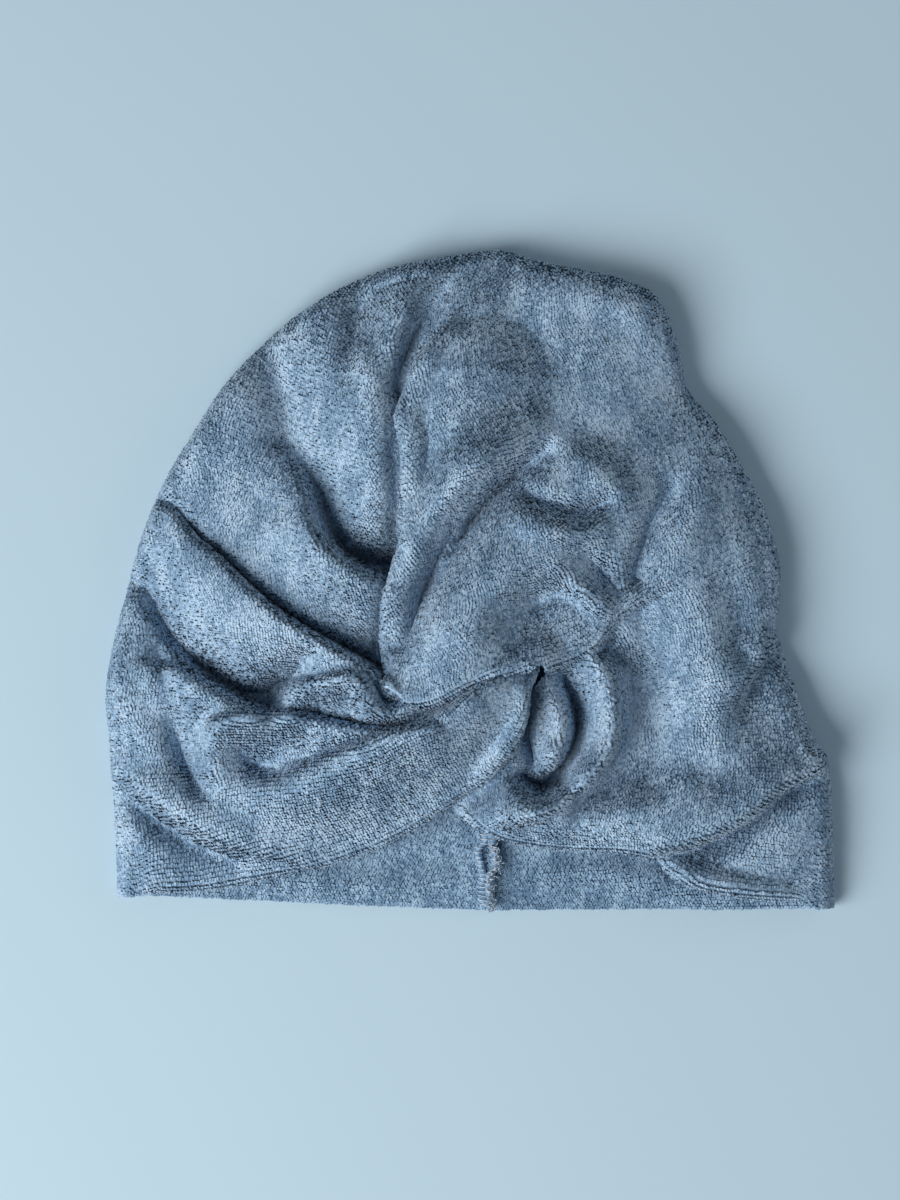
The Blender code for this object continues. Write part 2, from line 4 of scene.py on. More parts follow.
import bmesh
import bpy
import numpy as np
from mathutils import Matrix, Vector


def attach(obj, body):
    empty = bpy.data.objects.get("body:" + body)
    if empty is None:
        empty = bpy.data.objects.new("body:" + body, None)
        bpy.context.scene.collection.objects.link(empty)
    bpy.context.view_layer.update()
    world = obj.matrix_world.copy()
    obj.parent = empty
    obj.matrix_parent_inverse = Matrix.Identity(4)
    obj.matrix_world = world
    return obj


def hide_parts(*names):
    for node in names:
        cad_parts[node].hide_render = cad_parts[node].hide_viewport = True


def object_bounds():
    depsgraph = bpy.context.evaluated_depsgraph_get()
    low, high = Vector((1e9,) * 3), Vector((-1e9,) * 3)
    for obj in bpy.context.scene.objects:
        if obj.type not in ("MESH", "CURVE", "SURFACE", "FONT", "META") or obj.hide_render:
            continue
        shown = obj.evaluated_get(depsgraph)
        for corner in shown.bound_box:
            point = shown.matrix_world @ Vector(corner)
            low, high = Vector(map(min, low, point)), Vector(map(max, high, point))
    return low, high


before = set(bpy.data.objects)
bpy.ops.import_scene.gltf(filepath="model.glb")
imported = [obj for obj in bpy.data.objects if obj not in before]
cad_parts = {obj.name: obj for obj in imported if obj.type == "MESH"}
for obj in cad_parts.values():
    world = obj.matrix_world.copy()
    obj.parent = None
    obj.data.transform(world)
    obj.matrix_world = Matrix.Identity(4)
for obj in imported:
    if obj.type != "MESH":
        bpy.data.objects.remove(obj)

# The turban cap's looks: terry velour sheets with their folds, a pile of small loops, the overlocked back
# seam, and the pale surface the cap lies on. Metres, +Y towards the crown, +Z up.
CAD_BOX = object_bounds()
MM = 0.001

# Overall sizes: the CAD's box is this many times each of them
WIDTH_OF_BRIM = 1.0146
LENGTH_OF_CAP = 0.998
HEIGHT_OF_LOFT = 0.950
BRIM_WIDTH = (CAD_BOX[1][0] - CAD_BOX[0][0]) / WIDTH_OF_BRIM
CAP_LENGTH = (CAD_BOX[1][1] - CAD_BOX[0][1]) / LENGTH_OF_CAP
LOFT = (CAD_BOX[1][2] - CAD_BOX[0][2]) / HEIGHT_OF_LOFT

# The cloth, its turned edges and its crossings
CLOTH = 2.0 * MM
SEAM_HALF_GAP = 0.25 * MM
LAYER_PITCH = 1.2 * CLOTH
LAYER_CLEARANCE = 1.0 * MM
LEFT_WRAP_REACH = 0.105
RIGHT_WRAP_REACH = 0.112
HIDDEN_BUNCHING = 0.8
LEFT_BRIM_BUNCHING = 1.25
RIGHT_BRIM_BUNCHING = 1.1
FREE_SHARE = 0.42
SIDE_FOLD_REACH = 5.5 * MM
CROWN_TURN_RUN = 22 * MM
HEM_RADIUS = 2.4 * MM
HEM_TILT = 0.9
EDGE_TURN = 0.68
EDGE_RUN = 14 * MM
TUCK_RUN = 4.0 * MM
CROSSING_RUN = 24 * MM
EDGE_REACH = 9 * MM
ALIKE_RUN = 18 * MM
BESIDE_RUN = 13 * MM
SIDE_STEP = 8 * MM

# Where the photograph shows the cap, in its pixels
PHOTO_MIDDLE = np.array((470.5, 581.0))
PHOTO_WIDTH = 712
PHOTO_LENGTH = 655
IMAGE_MIDDLE = np.array((450.0, 600.0))
IMAGE_HEIGHT = 1200

# How fine the meshes are
CELL = 0.9 * MM
BACK_CELL = 2.5 * MM
SEAM_CELL = 0.8 * MM
WELD = 0.02 * MM
ROLL_STEPS = 12
HEM_STEPS = 8
CORNER_POINTS = 5
LINE_SAMPLES = 400
EDGE_SAMPLES = 150
WRAP_SAMPLES = 120
TUCK_SAMPLES = 80
SEAM_SAMPLES = 60
OUTLINE_STRIDE = 4
WRAP_STRIDE = 2

# The pile of loops
LOOP_PITCH = 1.05 * MM
LOOP_HEIGHT = 0.85 * MM
LOOP_SPAN = 1.05 * MM
LOOP_SPREAD = 1.45
LOOP_LEAN = 0.3
LOOP_SPIN = 0.5
LOOP_REACH = 1.6 * MM
CLOSEST_LOOPS = 0.62 * LOOP_PITCH
FIRST_LOOP = 0.25
ROW_SHIFT = 0.5
FLOOR_CLEARANCE = 0.4 * MM
SEEN_BACK_ROWS = 24
SHORTEST_NORMAL = 1e-9

# How the terry looks; a loop's yarn and the pile's fibres have their widths in mm
NAP_GAIN = 2.6
PILE_SOFTNESS = 1.9
STREAK_STRETCH = 0.45
YARN_MM = 1.2
YARN_CONTRAST = 0.9
TONE_STOPS = (0.33, 0.50, 0.67)
FIBRE_MM = 0.5
FIBRE_HEIGHT = 0.3 * MM
FIBRE_STRENGTH = 0.5
PILE_ROUGHNESS = 0.95
PILE_SPECULAR = 0.15
SHEEN_ROUGHNESS = 0.4
SHEEN_TINT = "#dfeaf5"

# The back seam's allowance; of its two lips, -1 is the left one
SEAM_LENGTH = 0.21
LIP_WIDTH = 3.0 * MM
LIP_HEIGHT = 3.6 * MM
LIP_SIDES = 12
LIP_END = 1.2 * MM
LIP_APART = 0.85
LIP_RAGGED = {-1: 0.08, 1: 0.2}
LIP_RISE = {-1: 0.0, 1: 1.5 * MM}
SEAM_LEVEL = 4.2 * MM
SEAM_WANDER = 0.35 * MM
WANDER_LENGTH = 5.3 * MM
EYE_LENGTH = 10.5 * MM
EYE_WIDTH = 4.6 * MM
EYE_FROM_BRIM = 18.6 * MM
EYE_SLANT = 0.3
EYE_THINNING = 0.15
EYE_SETTLING = 0.3
RAGGED_SEED = 4
STITCH_SEED = 12

# The overlock threads: slants, heights and the spread of leans in mm, places across a lip in its widths
THREAD = 0.35 * MM
THREAD_CORNERS = (0.0, 2.1, 4.2)
THREAD_ASIDE = (0.3, 1.0, 0.2)
STITCH_SLANT = (0.2, 1.1)
STITCH_PROUD = (0.15, 0.55)
STITCH_FROM = 0.02
STITCH_TURN = 0.96
STITCH_POINTS = 7
STITCH_EVERY = 2
TUFTS = 170
TUFTED_POINTS = 30
TUFT_ACROSS = (-0.6, 1.0)
TUFT_LEAN = 0.9
TUFT_HEIGHT = (0.9, 2.1)
TUFT_POINTS = 5
TUFT_CURL = 0.4 * MM
TUFT_WAVES = 5
TUFT_BEND = 2.4
TUFT_FORWARD = 2.0 * MM

# The plain form of the front: rim, plateau, drop and swells are shares of LOFT
RIM_LEFT = 0.22
RIM_RIGHT = 0.27
RIM_BLEND = 0.3
PLATEAU = 0.26
LOWEST = 3.2 * MM
PLATEAU_RUN = 22 * MM
BRIM_DROP = 0.40
BRIM_DROP_RUN = 20 * MM
KNOT = (506, 689)
KNOT_RUN = 62 * MM
KNOT_SWELL = 0.12
OVER_SWELL = 0.15
LAYER_BLEND = 3.0 * MM
FLOOR_BLEND = 2.0 * MM
SEAM_EASE = 12 * MM
SEAM_GROOVE = 1.3 * MM
SEAM_GROOVE_RUN = 1.6 * MM

# The picture is taken from straight above
CAMERA_HEIGHT = 1.8
SENSOR = 24
FLOOR_REACH = 4.0

# Plan curves, each point by the photograph's pixels
CROWN = (500, 254)
CROWN_SEAM_END = (461, 312)
BACK_SEAM_TOP = (493, 340)
BACK_SEAM_END = (487, 908)
LEFT_SIDE = [(440, 262), (370, 279), (300, 318), (235, 378), (190, 445), (163, 492), (140, 552), (128, 598),
             (115, 650), (109, 695), (112, 735), (114, 770), (118, 830), (120, 893)]
RIGHT_SIDE_UPPER = [(545, 267), (605, 279), (643, 292), (658, 306), (671, 335), (678, 362), (683, 387),
                    (693, 403), (712, 424), (742, 474), (757, 500), (766, 524)]
RIGHT_SIDE_LOWER = [(775, 558), (777, 585), (776, 608), (772, 628), (779, 650), (789, 680), (808, 733),
                    (822, 755), (827, 775), (829, 810), (832, 905)]
LEFT_HIDDEN = [(446, 328), (433, 344), (429, 365), (435, 404), (442, 463), (442, 560), (450, 640),
               (500, 655), (537, 658)]
LEFT_BRIM = [(531, 690), (527, 715), (515, 740), (490, 775), (470, 790), (450, 803), (400, 835), (330, 862),
             (260, 877), (208, 887), (160, 890)]
RIGHT_EDGE = [(444, 326), (425, 349), (412, 366), (404, 390), (397, 418), (403, 452), (404, 495), (400, 535),
              (389, 575), (382, 630), (382, 670), (389, 703)]
OVER_EDGE_FREE = [(410, 707), (431, 705), (448, 697), (473, 684), (505, 674), (541, 663)]
OVER_EDGE_TUCKED = [(583, 647), (598, 632), (606, 618), (626, 604), (647, 592), (700, 562), (740, 540)]
RIGHT_HIDDEN = [(500, 725), (470, 760), (440, 790)]
RIGHT_BRIM = [(470, 820), (500, 838), (540, 846), (580, 849), (620, 848), (650, 855), (680, 875), (700, 885),
              (740, 892), (790, 897)]
# From here to the right both parts of the right wrap keep the same height at their crossing
ALIKE_PIXEL = (640, 560)


class Fold(NamedTuple):
    """A ridge, or a valley where the rises are negative, along a curve through the photograph's pixels.

    Rises are mm at each point of the path. The height falls away over one width, in mm, on the left of the
    way along it and over another on its right. The crest leans over to its left by lean, in mm.
    """
    name: str
    path: tuple
    rises: tuple
    left: float
    right: float
    lean: float = 0.0


LEFT_FOLDS = [
    Fold("cheek body", ((170, 540), (205, 600), (240, 640), (276, 672)), (1.0, 3.0, 4.0, 2.0), 8.0, 6.0),
    Fold("side pleat", ((160, 498), (187, 538), (212, 561), (246, 594), (277, 620), (317, 645),
          (352, 666), (378, 682)),
         (1.5, 4.5, 7.0, 8.5, 9.5, 10.0, 9.5, 8.0), 1.5, 14.0, 1.2),
    Fold("pleat slit", ((166, 495), (193, 532), (219, 554), (254, 586), (285, 611), (325, 636),
          (360, 656), (386, 672)),
         (-1.5, -6.0, -9.0, -11.0, -12.0, -13.0, -15.0, -14.0), 2.2, 1.8),
    Fold("pleat pocket", ((330, 625), (360, 648), (390, 662)), (-2.0, -5.0, -5.0), 7.0, 3.0),
    Fold("pocket lip", ((284, 462), (299, 498), (307, 528), (322, 552), (352, 574), (388, 588)),
         (2.5, 6.0, 8.0, 9.0, 9.0, 6.0), 2.4, 10.0, 0.8),
    Fold("pocket", ((308, 466), (322, 502), (331, 530), (345, 550), (366, 563), (392, 570)),
         (-4.0, -11.0, -15.0, -17.0, -17.0, -14.0), 7.4, 3.6),
    Fold("cheek valley", ((140, 560), (150, 590), (160, 615), (180, 645), (208, 672), (240, 692),
          (268, 704)),
         (-2.0, -6.0, -10.0, -13.0, -15.0, -17.0, -18.0), 5.4, 3.4),
    Fold("cheek blob", ((156, 636), (164, 664), (172, 690)), (-2.0, -6.0, -3.0), 4.0, 4.0),
    Fold("cheek roll", ((124, 602), (118, 660), (126, 705), (150, 740)), (1.5, 3.5, 4.0, 2.0), 7.0, 6.0),
    Fold("band shoulder", ((150, 668), (175, 674), (195, 684), (225, 700), (252, 718)),
         (2.0, 6.0, 7.5, 7.5, 4.0), 2.0, 9.0, 0.8),
    Fold("shoulder dent", ((174, 706), (179, 735), (190, 765), (208, 788)),
         (-2.0, -7.0, -7.0, -3.0), 4.5, 4.5),
    Fold("shoulder lobe", ((214, 784), (214, 752), (226, 726), (250, 714), (280, 714)),
         (2.0, 6.0, 7.0, 6.0, 2.5), 4.0, 7.0),
    Fold("dark spot", ((244, 750), (260, 765), (282, 770)), (-2.5, -5.5, -2.5), 5.0, 4.0),
    Fold("lower pleat", ((222, 724), (265, 719), (300, 720), (350, 731), (400, 736), (430, 732)),
         (3.0, 6.0, 6.5, 6.0, 5.0, 3.0), 1.8, 8.0, 0.8),
    Fold("lower pleat's slit", ((290, 708), (350, 721), (405, 725), (436, 719)),
         (-2.0, -5.0, -6.0, -4.0), 2.2, 1.6),
    Fold("upper pleat", ((292, 711), (299, 690), (325, 685), (350, 682), (365, 693), (374, 706),
          (388, 711), (420, 708)),
         (3.0, 7.5, 8.0, 8.5, 8.0, 6.0, 4.0, 2.0), 1.8, 5.0, 0.8),
    Fold("lobe crease", ((318, 688), (321, 700), (322, 712)), (-3.0, -4.0, -3.0), 2.0, 2.0),
    Fold("edge pit", ((374, 690), (380, 702), (392, 706)), (-5.0, -8.0, -5.0), 3.0, 2.5),
    Fold("pleat pit", ((262, 692), (276, 683), (292, 676), (302, 662)),
         (-8.0, -15.0, -15.0, -6.0), 4.6, 4.6),
    Fold("band edge", ((270, 787), (330, 762), (380, 744), (420, 730), (450, 714), (480, 692), (505, 678)),
         (0.5, 3.0, 5.5, 7.0, 7.5, 7.0, 4.0), 1.8, 12.0, 0.8),
    Fold("band slit", ((300, 760), (360, 740), (412, 721), (442, 703)),
         (-1.0, -3.0, -4.5, -4.0), 3.0, 1.8),
    Fold("band crest", ((196, 782), (262, 790), (330, 778), (396, 750), (446, 720), (494, 694)),
         (2.0, 5.5, 8.5, 10.0, 10.5, 8.5), 10.0, 15.0),
    Fold("band end", ((523, 684), (522, 712), (507, 742), (484, 770)), (1.4, 2.4, 2.4, 1.0), 4.0, 3.0),
    Fold("band end hollow", ((500, 700), (492, 730), (470, 756)), (-1.2, -2.2, -1.0), 5.0, 5.0),
    Fold("corner ridge", ((122, 758), (145, 783), (180, 808), (210, 825), (250, 840), (310, 855)),
         (2.0, 4.0, 4.8, 4.8, 3.8, 1.5), 9.0, 2.0, -0.6),
    Fold("corner valley", ((118, 773), (140, 801), (175, 826), (205, 843), (240, 856)),
         (-2.0, -4.5, -5.0, -4.0, -2.0), 1.8, 7.0),
    Fold("corner crease", ((128, 800), (150, 850), (158, 884)), (1.0, 1.8, 1.0), 6.0, 3.0),
    Fold("crescent", ((470, 262), (442, 272), (416, 292), (400, 322), (390, 350), (378, 376)),
         (1.0, 3.5, 6.0, 7.5, 6.5, 2.0), 3.2, 6.0, 0.6),
    Fold("crescent dent", ((444, 298), (424, 320), (406, 352), (392, 390)),
         (-1.5, -6.0, -8.0, -5.0), 4.5, 2.4),
    Fold("crescent valley", ((376, 286), (360, 318), (352, 350), (350, 376)),
         (-1.0, -4.0, -5.0, -2.0), 5.0, 6.0),
    Fold("crown swell", ((330, 318), (362, 372), (384, 430), (396, 486)),
         (3.0, 6.5, 8.0, 6.0), 9.0, 14.0),
    Fold("crown slope", ((268, 340), (288, 400), (296, 456), (290, 500)),
         (-2.0, -5.5, -6.0, -3.0), 9.0, 10.0),
    Fold("side swell", ((270, 346), (226, 396), (194, 450), (176, 492)), (2.0, 5.5, 5.5, 2.5), 13.0, 6.0),
    Fold("hidden dip", ((440, 440), (440, 500), (430, 570), (430, 640)),
         (-2.0, -11.0, -15.0, -11.0), 5.0, 7.0),
    Fold("under edge valley", ((402, 392), (394, 440), (398, 500), (392, 560), (382, 640)),
         (-3.0, -5.5, -6.0, -6.0, -5.0), 7.0, 5.0),
]
OVER_FOLDS = [
    Fold("top crest", ((476, 318), (466, 372), (464, 430), (476, 480)), (3.0, 7.0, 8.0, 6.0), 26.0, 16.0),
    Fold("edge roll", ((440, 336), (420, 374), (411, 425), (416, 480), (408, 540)),
         (1.0, 2.0, 2.0, 2.0, 1.5), 4.0, 4.0),
    Fold("lobe crest", ((440, 694), (460, 640), (492, 590), (540, 546), (600, 512)),
         (9.0, 13.0, 13.0, 10.0, 4.0), 19.0, 15.0),
    Fold("upper lobe", ((396, 596), (414, 552), (438, 508), (474, 468), (528, 434)),
         (5.0, 8.0, 9.0, 8.0, 3.0), 9.0, 5.0),
    Fold("groove", ((400, 640), (416, 604), (440, 562), (466, 525), (490, 498), (513, 475), (542, 454)),
         (-5.0, -14.0, -18.0, -18.0, -17.0, -14.0, -5.0), 3.2, 5.6),
    Fold("crown shade", ((500, 300), (530, 340), (560, 372)), (-1.0, -2.4, -1.0), 9.0, 9.0),
    Fold("crown rim", ((530, 276), (590, 292), (640, 312), (662, 352)), (1.5, 2.6, 3.0, 1.5), 8.0, 8.0),
    Fold("lobe dent", ((505, 612), (532, 597), (562, 584)), (-4.0, -7.0, -4.0), 8.0, 8.0),
    Fold("lobe ridge", ((556, 566), (576, 586), (600, 606)), (2.0, 4.5, 3.0), 3.6, 3.6),
    Fold("lobe crease", ((584, 556), (600, 572), (616, 590)), (-3.0, -6.0, -3.0), 3.2, 3.2),
    Fold("bright patch", ((560, 456), (594, 472), (616, 498)), (2.0, 4.0, 2.4), 7.0, 10.0),
    Fold("patch crease", ((530, 498), (554, 512), (580, 514), (604, 504)),
         (-3.0, -6.0, -6.0, -3.0), 3.6, 3.6),
    Fold("patch ridge", ((524, 522), (560, 532), (596, 530)), (2.0, 3.4, 2.0), 5.0, 5.0),
    Fold("side valley", ((666, 494), (644, 534), (632, 576)), (-3.5, -7.0, -6.0), 5.0, 3.4),
    Fold("side ridge", ((712, 452), (698, 500), (682, 545), (672, 584)), (1.5, 4.0, 4.5, 3.0), 9.0, 7.0),
    Fold("crease at the rise", ((640, 560), (700, 526), (752, 500)), (-0.3, -1.2, -1.0), 6.0, 6.0),
    Fold("lower rim", ((404, 698), (440, 694), (480, 672), (520, 660), (560, 648), (592, 630)),
         (1.5, 1.6, 1.8, 1.8, 1.8, 1.0), 8.0, 3.0),
]
UNDER_FOLDS = [
    Fold("outer loop", ((580, 652), (598, 668), (608, 696), (608, 733), (593, 762), (572, 783),
          (546, 802), (512, 814)),
         (3.0, 7.0, 8.5, 9.5, 10.0, 10.0, 8.0, 5.0), 2.4, 5.0, 0.8),
    Fold("outer loop's outside", ((606, 648), (626, 674), (630, 710), (624, 748), (606, 778), (576, 806)),
         (-5.0, -9.0, -9.0, -8.0, -6.0, -3.0), 8.0, 3.0),
    Fold("loop valley", ((562, 682), (575, 716), (572, 745), (554, 776)),
         (-6.0, -13.0, -17.0, -18.0), 4.2, 3.0),
    Fold("inner loop", ((550, 674), (561, 714), (560, 740), (546, 763), (532, 770)),
         (2.0, 5.0, 6.5, 7.0, 4.0), 1.6, 5.0, 0.6),
    Fold("knot slit", ((528, 700), (530, 735), (536, 760)), (-9.0, -12.0, -12.0), 3.0, 4.5),
    Fold("knot pocket", ((524, 776), (540, 786), (558, 776)), (-14.0, -20.0, -16.0), 5.0, 4.6),
    Fold("knot shade", ((560, 664), (578, 700), (578, 740)), (-5.0, -6.0, -4.0), 8.0, 8.0),
    Fold("loop root", ((492, 772), (514, 788), (540, 798), (560, 796)), (2.0, 4.0, 4.0, 2.0), 3.0, 6.0),
    Fold("side ridge", ((690, 560), (698, 610), (710, 670), (716, 735)), (2.5, 4.5, 5.0, 2.5), 9.0, 11.0),
    Fold("ridge valley", ((640, 610), (652, 670), (660, 730), (650, 780)),
         (-3.0, -5.0, -6.0, -3.0), 6.0, 6.0),
    Fold("far valley", ((736, 600), (740, 650), (748, 700)), (-1.0, -2.0, -1.0), 6.0, 7.0),
    Fold("side pleat", ((772, 627), (756, 650), (740, 676), (727, 697)),
         (4.0, 7.5, 6.5, 2.0), 1.8, 11.0, 0.8),
    Fold("side pleat's slit", ((780, 634), (764, 658), (748, 684), (735, 704)),
         (-2.0, -4.5, -4.5, -2.0), 6.0, 1.8),
    Fold("brim pleat", ((829, 756), (780, 777), (743, 807), (706, 826), (664, 840), (620, 848)),
         (4.0, 7.5, 8.5, 8.5, 7.0, 3.5), 1.8, 13.0, 1.0),
    Fold("brim slit", ((829, 768), (784, 789), (748, 818), (710, 838), (672, 852)),
         (-3.0, -5.5, -6.5, -6.0, -3.0), 6.0, 1.8),
    Fold("brim roll", ((633, 858), (675, 868), (717, 880), (780, 892)), (1.5, 3.6, 3.6, 2.0), 4.0, 4.0),
    Fold("front swell", ((500, 818), (560, 818), (620, 808), (680, 786)), (3.0, 5.0, 5.0, 2.5), 8.0, 9.0),
    Fold("cheek bulge", ((690, 452), (730, 506), (744, 560), (742, 604)),
         (1.5, 3.5, 4.5, 2.5), 9.0, 14.0),
    Fold("corner bulge", ((786, 700), (808, 744), (818, 770)), (1.0, 2.5, 2.0), 7.0, 7.0),
]
BACK_FOLDS = [
    Fold("left ripple", ((150, 868), (260, 874), (380, 886), (470, 880)), (0.5, 1.0, 1.0, 0.5), 5.0, 5.0),
    Fold("right ripple", ((510, 880), (600, 872), (700, 890), (800, 896)),
         (0.5, 1.1, 1.2, 0.5), 4.0, 4.0),
    Fold("seam pull", ((496, 846), (494, 875), (490, 905)), (0.8, 0.9, 0.7), 4.0, 4.0),
]

FOLD_SAMPLES = 40
REACH_WIDTHS = 2.6
LEANING_RISE = 4 * MM
SHORTEST_DISTANCE = 1e-7


def plan(pixels):
    """Plan points in metres, from the photograph's pixels."""
    offset = np.array(pixels, float) - PHOTO_MIDDLE
    return offset * (BRIM_WIDTH / PHOTO_WIDTH, -CAP_LENGTH / PHOTO_LENGTH)


def lengths_along(points):
    """Distance of each point from the first, measured along the line through them all."""
    steps = np.linalg.norm(np.diff(points, axis=0), axis=1)
    return np.concatenate(([0.0], np.cumsum(steps)))


def smooth_line(points, samples=LINE_SAMPLES):
    """Dense points on a Catmull-Rom curve through points."""
    points = np.asarray(points, float)
    knots = np.vstack((2 * points[0] - points[1], points, 2 * points[-1] - points[-2]))
    per_span = max(2, samples // (len(points) - 1))
    t = np.linspace(0, 1, per_span, endpoint=False)[:, None]
    spans = []
    for a, b, c, d in zip(knots, knots[1:], knots[2:], knots[3:]):
        spans.append(b + 0.5 * t * (c - a + t * (2 * a - 5 * b + 4 * c - d + t * (3 * (b - c) + d - a))))
    return np.vstack(spans + [points[-1:]])


def at_lengths(line, wanted):
    """Points of a line at the wanted distances along it."""
    along = lengths_along(line)
    return np.stack([np.interp(wanted, along, line[:, axis]) for axis in range(line.shape[1])], axis=-1)


def spaced_points(points, count, bunching=1.0):
    """Points on the smooth curve through points, closer at its start where bunching is over 1."""
    line = smooth_line(points)
    return at_lengths(line, lengths_along(line)[-1] * np.linspace(0, 1, count) ** bunching)


def respaced(line, count):
    """The same line, through evenly spaced points."""
    return at_lengths(line, np.linspace(0, lengths_along(line)[-1], count))


def smooth_step(value):
    """0 to 1 with level ends, as value goes from 0 to 1."""
    value = np.clip(value, 0.0, 1.0)
    return value * value * (3 - 2 * value)


def distance_to(points, line):
    """Distance of each point to the nearest sample of a line."""
    flat = points.reshape(-1, 2)
    nearest = np.full(len(flat), np.inf)
    for sample in line:
        np.minimum(nearest, ((flat - sample) ** 2).sum(axis=1), out=nearest)
    return np.sqrt(nearest).reshape(points.shape[:-1])


def inside(points, polygon):
    """Which points lie in a closed plan outline."""
    result = np.zeros(points.shape[:-1], bool)
    for (x0, y0), (x1, y1) in zip(polygon, np.roll(polygon, -1, axis=0)):
        if y0 == y1:
            continue
        crosses = (y0 > points[..., 1]) != (y1 > points[..., 1])
        result ^= crosses & (points[..., 0] < x0 + (x1 - x0) * (points[..., 1] - y0) / (y1 - y0))
    return result


def add_fold(points, fold, moves):
    """Adds one fold's rise and lean to the moves of the plan points that it reaches."""
    line = smooth_line(plan(fold.path), FOLD_SAMPLES)
    widths = np.array((fold.left, fold.right)) * MM
    reach = REACH_WIDTHS * widths.max()
    near = np.all((points > line.min(axis=0) - reach) & (points < line.max(axis=0) + reach), axis=1)
    places = points[near]
    along = lengths_along(line) / lengths_along(line)[-1]
    knots = np.linspace(0, 1, len(fold.rises))
    nearest = np.full(len(places), np.inf)
    share_at = np.zeros(len(places))
    side_at = np.zeros(len(places))
    way_at = np.zeros((len(places), 2))
    for a, b, share_a, share_b in zip(line, line[1:], along, along[1:]):
        run = b - a
        offset = places - a
        share = np.clip((offset @ run) / (run @ run), 0, 1)
        beside = offset - share[:, None] * run
        distance = np.hypot(beside[:, 0], beside[:, 1])
        closer = distance < nearest
        nearest[closer] = distance[closer]
        share_at[closer] = (share_a + (share_b - share_a) * share)[closer]
        way = run / np.hypot(*run)
        cross = way[0] * beside[:, 1] - way[1] * beside[:, 0]
        side_at[closer] = (cross / np.maximum(distance, SHORTEST_DISTANCE))[closer]
        way_at[closer] = way
    leftness = 0.5 + 0.5 * side_at
    width = widths[1] + (widths[0] - widths[1]) * leftness
    rise = np.interp(share_at, knots, fold.rises) * MM
    profile = np.exp(-(nearest / width) ** 2)
    lean = fold.lean * MM * profile * np.clip(rise / LEANING_RISE, 0, 1)
    moves[near, 0] -= way_at[:, 1] * lean
    moves[near, 1] += way_at[:, 0] * lean
    moves[near, 2] += rise * profile


def fold_moves(points, folds):
    """How far all the folds of a table move each plan point: two lean directions and the rise."""
    flat = points.reshape(-1, 2)
    moves = np.zeros((len(flat), 3))
    for fold in folds:
        add_fold(flat, fold, moves)
    return moves.reshape(points.shape[:-1] + (3,))


class Side:
    """One side fold in plan: the outermost line of the cloth, and the points where the roll starts."""

    def __init__(self, pixels, hand):
        crown = plan(CROWN) + (hand * SEAM_HALF_GAP, 0)
        self.hand = hand
        self.line = smooth_line(np.vstack((crown, plan(pixels))))
        self.length = lengths_along(self.line)[-1]

    def rows(self, wanted):
        """Outer points and inward directions at the wanted distances from the crown."""
        outer = at_lengths(self.line, wanted)
        ahead = at_lengths(self.line, np.minimum(wanted + SIDE_STEP, self.length))
        behind = at_lengths(self.line, np.maximum(wanted - SIDE_STEP, 0))
        way = ahead - behind
        inward = np.stack((way[:, 1], -way[:, 0]), axis=1) * self.hand
        inward /= np.linalg.norm(inward, axis=1)[:, None]
        seam_way = plan(CROWN_SEAM_END) - plan(CROWN)
        seam_way /= np.linalg.norm(seam_way)
        blend = smooth_step(wanted / CROWN_TURN_RUN)[:, None]
        inward = blend * inward + (1 - blend) * seam_way
        return outer, inward / np.linalg.norm(inward, axis=1)[:, None]


LEFT_OUTLINE = Side(LEFT_SIDE, -1)
RIGHT_OUTLINE = Side(RIGHT_SIDE_UPPER + RIGHT_SIDE_LOWER, 1)
CROWN_SEAM = np.linspace(plan(CROWN), plan(CROWN_SEAM_END), SEAM_SAMPLES)
WHOLE_OUTLINE = np.vstack((LEFT_OUTLINE.line[::-OUTLINE_STRIDE], RIGHT_OUTLINE.line[::OUTLINE_STRIDE]))
LEFT_WRAP = np.vstack((smooth_line(plan([CROWN_SEAM_END] + LEFT_HIDDEN), WRAP_SAMPLES),
                       smooth_line(plan(LEFT_BRIM), WRAP_SAMPLES), plan(LEFT_SIDE[::-1])))
OVER_EDGE = smooth_line(plan(RIGHT_EDGE + OVER_EDGE_FREE), EDGE_SAMPLES)
BAND_EDGE = smooth_line(plan(LEFT_BRIM), EDGE_SAMPLES)
TUCKED_LINE = smooth_line(plan(OVER_EDGE_TUCKED + [RIGHT_SIDE_UPPER[-1]]), TUCK_SAMPLES)
ALIKE_FROM = plan(ALIKE_PIXEL)[0]


def base_height(points):
    """The front without its folds: a rim, a plateau inside it, lower towards the brim."""
    inward = distance_to(points, WHOLE_OUTLINE)
    rightness = smooth_step(points[..., 0] / (RIM_BLEND * BRIM_WIDTH) + RIM_BLEND)
    rim = RIM_LEFT + (RIM_RIGHT - RIM_LEFT) * rightness
    height = LOFT * (rim + PLATEAU * (1 - np.exp(-inward / PLATEAU_RUN)))
    from_brim = points[..., 1] + CAP_LENGTH / 2
    return height * (1 - BRIM_DROP * np.exp(-from_brim / BRIM_DROP_RUN))


def wrap_moves(points, swell, folds):
    """Lean and height of the middle of a wrap's cloth, the same for both wraps along the crown seam."""
    seam_distance = distance_to(points, CROWN_SEAM)
    away = np.linalg.norm(points - plan(KNOT), axis=-1) / KNOT_RUN
    moves = fold_moves(points, folds)
    moves[..., 2] += LOFT * swell * np.exp(-away ** 2)
    moves *= smooth_step(seam_distance / SEAM_EASE)[..., None]
    groove = SEAM_GROOVE * np.exp(-(seam_distance / SEAM_GROOVE_RUN) ** 2)
    moves[..., 2] += base_height(points) - groove - LOWEST
    moves[..., 2] = LOWEST + 0.5 * (moves[..., 2] + np.sqrt(moves[..., 2] ** 2 + FLOOR_BLEND ** 2))
    return moves


def left_moves(points):
    """Lean and height of the left wrap."""
    return wrap_moves(points, KNOT_SWELL, LEFT_FOLDS)


